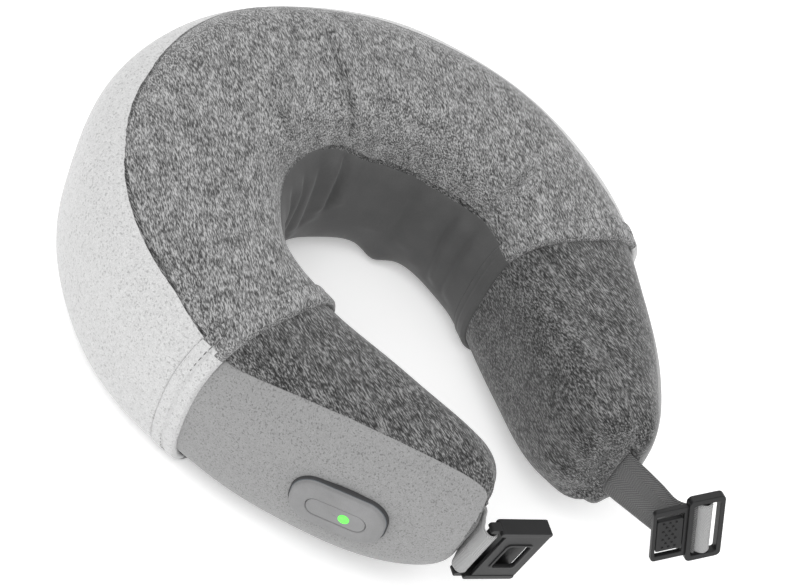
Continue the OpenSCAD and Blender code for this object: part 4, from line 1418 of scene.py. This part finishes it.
@dataclass
class Receiver:
    """The left buckle: two rails, a pocket between two plates and a window in the outer one."""

    work: FabricWork
    place: Matrix
    width: float = 38.0 * MM
    length: float = 30.0 * MM
    height: float = 8.0 * MM
    plate_t: float = 1.9 * MM
    rail_w: float = 3.0 * MM
    rail_from: float = 2.4 * MM
    lug_r: float = 2.3 * MM

    def build(self) -> None:
        """Builds the receiver."""
        part = Moulding("receiver_shell", self.place)
        part.rod(1.8 * MM, self.width / 2.0 - 1.0 * MM)
        for y in (-1, 1):
            beside = y * (self.width - self.rail_w) / 2.0
            rail = rounded_loop(self.length - self.rail_from, self.rail_w, 1.2 * MM, 4,
                                ((self.length + self.rail_from) / 2.0, beside))
            part.plate(rail, -self.height / 2.0, self.height / 2.0)
            lug = rounded_loop(6.0 * MM, self.rail_w - 0.1 * MM, 1.2 * MM, 4, (0.7 * MM, beside))
            part.plate(lug, -self.lug_r, self.lug_r)
        middle = (6.0 * MM + self.length) / 2.0
        reach = self.length - 6.0 * MM
        wide = self.width - 2 * self.rail_w + 2.0 * MM
        sheet = rounded_loop(reach, wide, 1.0 * MM, 4, (middle, 0.0))
        part.plate(sheet, -self.height / 2.0 + 0.2 * MM, -self.height / 2.0 + self.plate_t)
        window = rounded_loop(12.0 * MM, 17.0 * MM, 1.5 * MM, 4, (18.0 * MM, 0.0))
        part.ring(sheet, window, self.height / 2.0 - self.plate_t, self.height / 2.0 - 0.3 * MM)
        lip = rounded_loop(14.5 * MM, 19.5 * MM, 2.2 * MM, 4, (18.0 * MM, 0.0))
        part.ring(lip, window, self.height / 2.0 - 0.4 * MM, self.height / 2.0 + 0.25 * MM)
        piece = part.piece(0.45 * MM, self.work.finishes["buckle_black"])
        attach(piece, Body.RECEIVER.value)
        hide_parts("left_buckle")


@dataclass
class Tongue:
    """The right buckle: a tongue with a press tab and the thicker frame of the strap's bar."""

    work: FabricWork
    place: Matrix
    width: float = 38.0 * MM
    frame_half: float = 9.0 * MM
    tip: float = -26.0 * MM
    half_y: float = 15.5 * MM
    tab_near: float = -10.8 * MM
    tab_far: float = -24.0 * MM
    tab_half: float = 9.5 * MM
    dot_r: float = 0.62 * MM
    dot_step: float = 2.5 * MM

    def build(self) -> None:
        """Builds the frame, the tongue's plate, the tab and its dots."""
        part = Moulding("tongue_frame", self.place)
        part.rod(1.8 * MM, self.width / 2.0 - 1.0 * MM)
        window = rounded_loop(2 * self.frame_half - 5.0 * MM, self.width - 6.4 * MM, 1.2 * MM)
        part.ring(rounded_loop(2 * self.frame_half, self.width, 2.6 * MM), window, -2.0 * MM, 2.5 * MM)
        start = 2.0 * MM - self.frame_half
        plate = rounded_loop(start - self.tip, 2 * self.half_y, 2.0 * MM, 6, ((self.tip + start) / 2.0, 0.0))
        hole = rounded_loop(self.tab_near - self.tab_far + 0.3 * MM, 2 * self.tab_half + 6.0 * MM, 0.8 * MM,
                            6, ((self.tab_near + self.tab_far - 0.3 * MM) / 2.0, 0.0))
        part.ring(plate, hole, -1.3 * MM, 1.3 * MM)
        piece = part.piece(0.4 * MM, self.work.finishes["buckle_black"])
        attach(piece, Body.TONGUE.value)
        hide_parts("right_buckle")
        self.build_tab()

    def build_tab(self) -> None:
        """Builds the press tab and the dots on it."""
        part = Moulding("press_tab", self.place)
        far, near = self.tab_far, self.tab_near - 0.3 * MM
        part.plate(rounded_loop(near - far, 2 * self.tab_half, 0.8 * MM, 4, ((near + far) / 2.0, 0.0)),
                   -1.0 * MM, 1.4 * MM)
        tab = part.piece(0.3 * MM, self.work.finishes["buckle_black"])
        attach(tab, Body.LATCH.value)
        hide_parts("latch_tab")
        spots = []
        for k in range(-3, 4):
            shifts = (-1, 0, 1) if k % 2 else (-0.5, 0.5)
            spots += [((near + far) / 2.0 + j * self.dot_step * 1.25, k * self.dot_step, 1.42 * MM)
                      for j in shifts]
        points = np.array([list(self.place @ Vector(p)) for p in spots])
        row = BeadRow("tab_dots", False)
        dots = row.run("press_tab_dots", points, [], self.dot_r, self.dot_r,
                       self.work.finishes["buckle_black"])
        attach(dots, Body.LATCH.value)


# ---- Carried-over parts --------------------------------------------------------------------
@dataclass
class InsideParts:
    """The mechanism, electronics, battery and foam, whose shapes are right as they are."""

    finishes: Finishes
    by_slot: dict[str, str] = field(default_factory=lambda: {
        "foam": "cut_foam", "pcb_green": "board_mask", "lens_green": "lit_lens"})

    def build(self) -> None:
        """Gives every node the finish of its material slot."""
        for part in frame["record"]["subparts"]:
            node = frame["nodes"][part["node"]]
            slot = part["material_slot"]
            node.data.materials.clear()
            node.data.materials.append(self.finishes[self.by_slot.get(slot, slot)])


# ---- Studio --------------------------------------------------------------------------------
@dataclass
class Studio:
    """Pale floor, soft lights and the camera."""

    azimuth: float = -54.4926
    elevation: float = 43.0258
    roll: float = 28.7911
    distance: float = 0.9335
    lens: float = 87.5132
    target: Vector = field(default_factory=lambda: Vector((0.0016766, -0.0201754, 0.05)))

    def build(self) -> None:
        """Builds the camera, the floor and the lights."""
        self.build_camera()
        self.build_floor()
        self.light("key_light", (-0.9, -0.5, 1.5), 1.1, 15.5)
        self.light("fill_light", (1.1, -0.7, 1.0), 1.4, 4.5)
        self.light("back_light", (0.3, 1.3, 1.2), 1.2, 7.0)
        world = bpy.data.worlds.new("studio")
        world.use_nodes = True
        world.node_tree.nodes["Background"].inputs["Color"].default_value = (1.0, 1.0, 1.0, 1.0)
        world.node_tree.nodes["Background"].inputs["Strength"].default_value = 0.68
        bpy.context.scene.world = world
        bpy.context.scene.view_settings.view_transform = "Standard"

    def build_camera(self) -> None:
        """Sets the camera at its angle, turned about its own axis."""
        a, e, r = (math.radians(v) for v in (self.azimuth, self.elevation, self.roll))
        back = Vector((math.sin(a) * math.cos(e), -math.cos(a) * math.cos(e), math.sin(e)))
        right = Vector((math.cos(a), math.sin(a), 0.0))
        up = back.cross(right)
        across = right * math.cos(r) + up * math.sin(r)
        above = up * math.cos(r) - right * math.sin(r)
        spin = Matrix((across, above, back)).transposed().to_4x4()
        data = bpy.data.cameras.new("camera")
        data.lens = self.lens
        data.clip_start = 0.01
        camera = bpy.data.objects.new("camera", data)
        camera.matrix_world = Matrix.Translation(self.target + back * self.distance) @ spin
        bpy.context.scene.collection.objects.link(camera)
        bpy.context.scene.camera = camera

    def build_floor(self) -> None:
        """Lays a plain pale floor."""
        size = 6.0
        points = np.array([[-size, -size, 0], [size, -size, 0], [size, size, 0], [-size, size, 0]], float)
        floor = mesh_piece("studio_floor", points - np.array([0, 0, 0.0002]), [(0, 1, 2, 3)], closed=False)
        s = Shader("pale_floor", 0.9)
        s.colour(s.tones(s.noise(s.place(), 3.0), [(0.2, grey(0.93)), (0.8, grey(0.95))]))
        s.set(Specular_IOR_Level=0.1, Emission_Strength=0.3)
        s.surface.inputs["Emission Color"].default_value = (1.0, 1.0, 1.0, 1.0)
        floor.data.materials.append(s.material)

    def light(self, name: str, place: Sequence[float], size: float, power: float) -> None:
        """Hangs one soft square light that faces the pillow."""
        data = bpy.data.lights.new(name, "AREA")
        data.size = size
        data.energy = power
        lamp = bpy.data.objects.new(name, data)
        lamp.location = place
        aim = Vector((0.0, 0.0, 0.05)) - Vector(place)
        lamp.rotation_euler = aim.to_track_quat("-Z", "Y").to_euler()
        bpy.context.scene.collection.objects.link(lamp)


# ---- The whole object ----------------------------------------------------------------------
LEFT_BAR = Vector((-0.0465, -0.1605, 0.051))
LEFT_ALONG, LEFT_ACROSS = (0.956, -0.27, -0.114), (-0.1, 0.0, 0.98)
RIGHT_BAR = Vector((0.0675, -0.1935, 0.0595))
RIGHT_ALONG, RIGHT_ACROSS = (0.905, -0.287, 0.312), (-0.205, 0.348, 0.914)


def main() -> None:
    """Builds the studio and every sub-assembly in order."""
    logging.basicConfig(level=logging.INFO, format="%(name)s: %(message)s")
    Studio().build()
    finishes = Finishes()
    InsideParts(finishes).build()
    work = FabricWork(PillowShape(), Drape(), finishes)
    Sleeve(work).build()
    left_side = ramp([(0.58, 43), (0.64, 45), (0.72, 53.6), (0.79, 59.7), (0.86, 63), (0.96, 65.4)])
    right_side = ramp([(0.58, 43), (0.92, 47), (0.96, 40), (1.0, 30)])
    right_top = ramp([(0.58, 128), (0.66, 123), (0.77, 113.7), (0.87, 100.7), (0.95, 90), (1.0, 84)])
    ArmCover(work, Side.LEFT, left_side, always(140.0)).build()
    ArmCover(work, Side.RIGHT, right_side, right_top).build()
    ControlPod(work).build()
    Webbing(work, Side.LEFT, LEFT_BAR, LEFT_ALONG, LEFT_ACROSS, "webbing_light").build()
    # The right strap is dark webbing; its fold round the bar takes the paler finish as painted highlight.
    Webbing(work, Side.RIGHT, RIGHT_BAR, RIGHT_ALONG, RIGHT_ACROSS, "webbing_dark",
            fold_finish="webbing_light").build()
    Receiver(work, local_frame(LEFT_BAR, LEFT_ALONG, LEFT_ACROSS)).build()
    Tongue(work, local_frame(RIGHT_BAR, RIGHT_ALONG, RIGHT_ACROSS)).build()


if __name__ == "__main__":
    main()
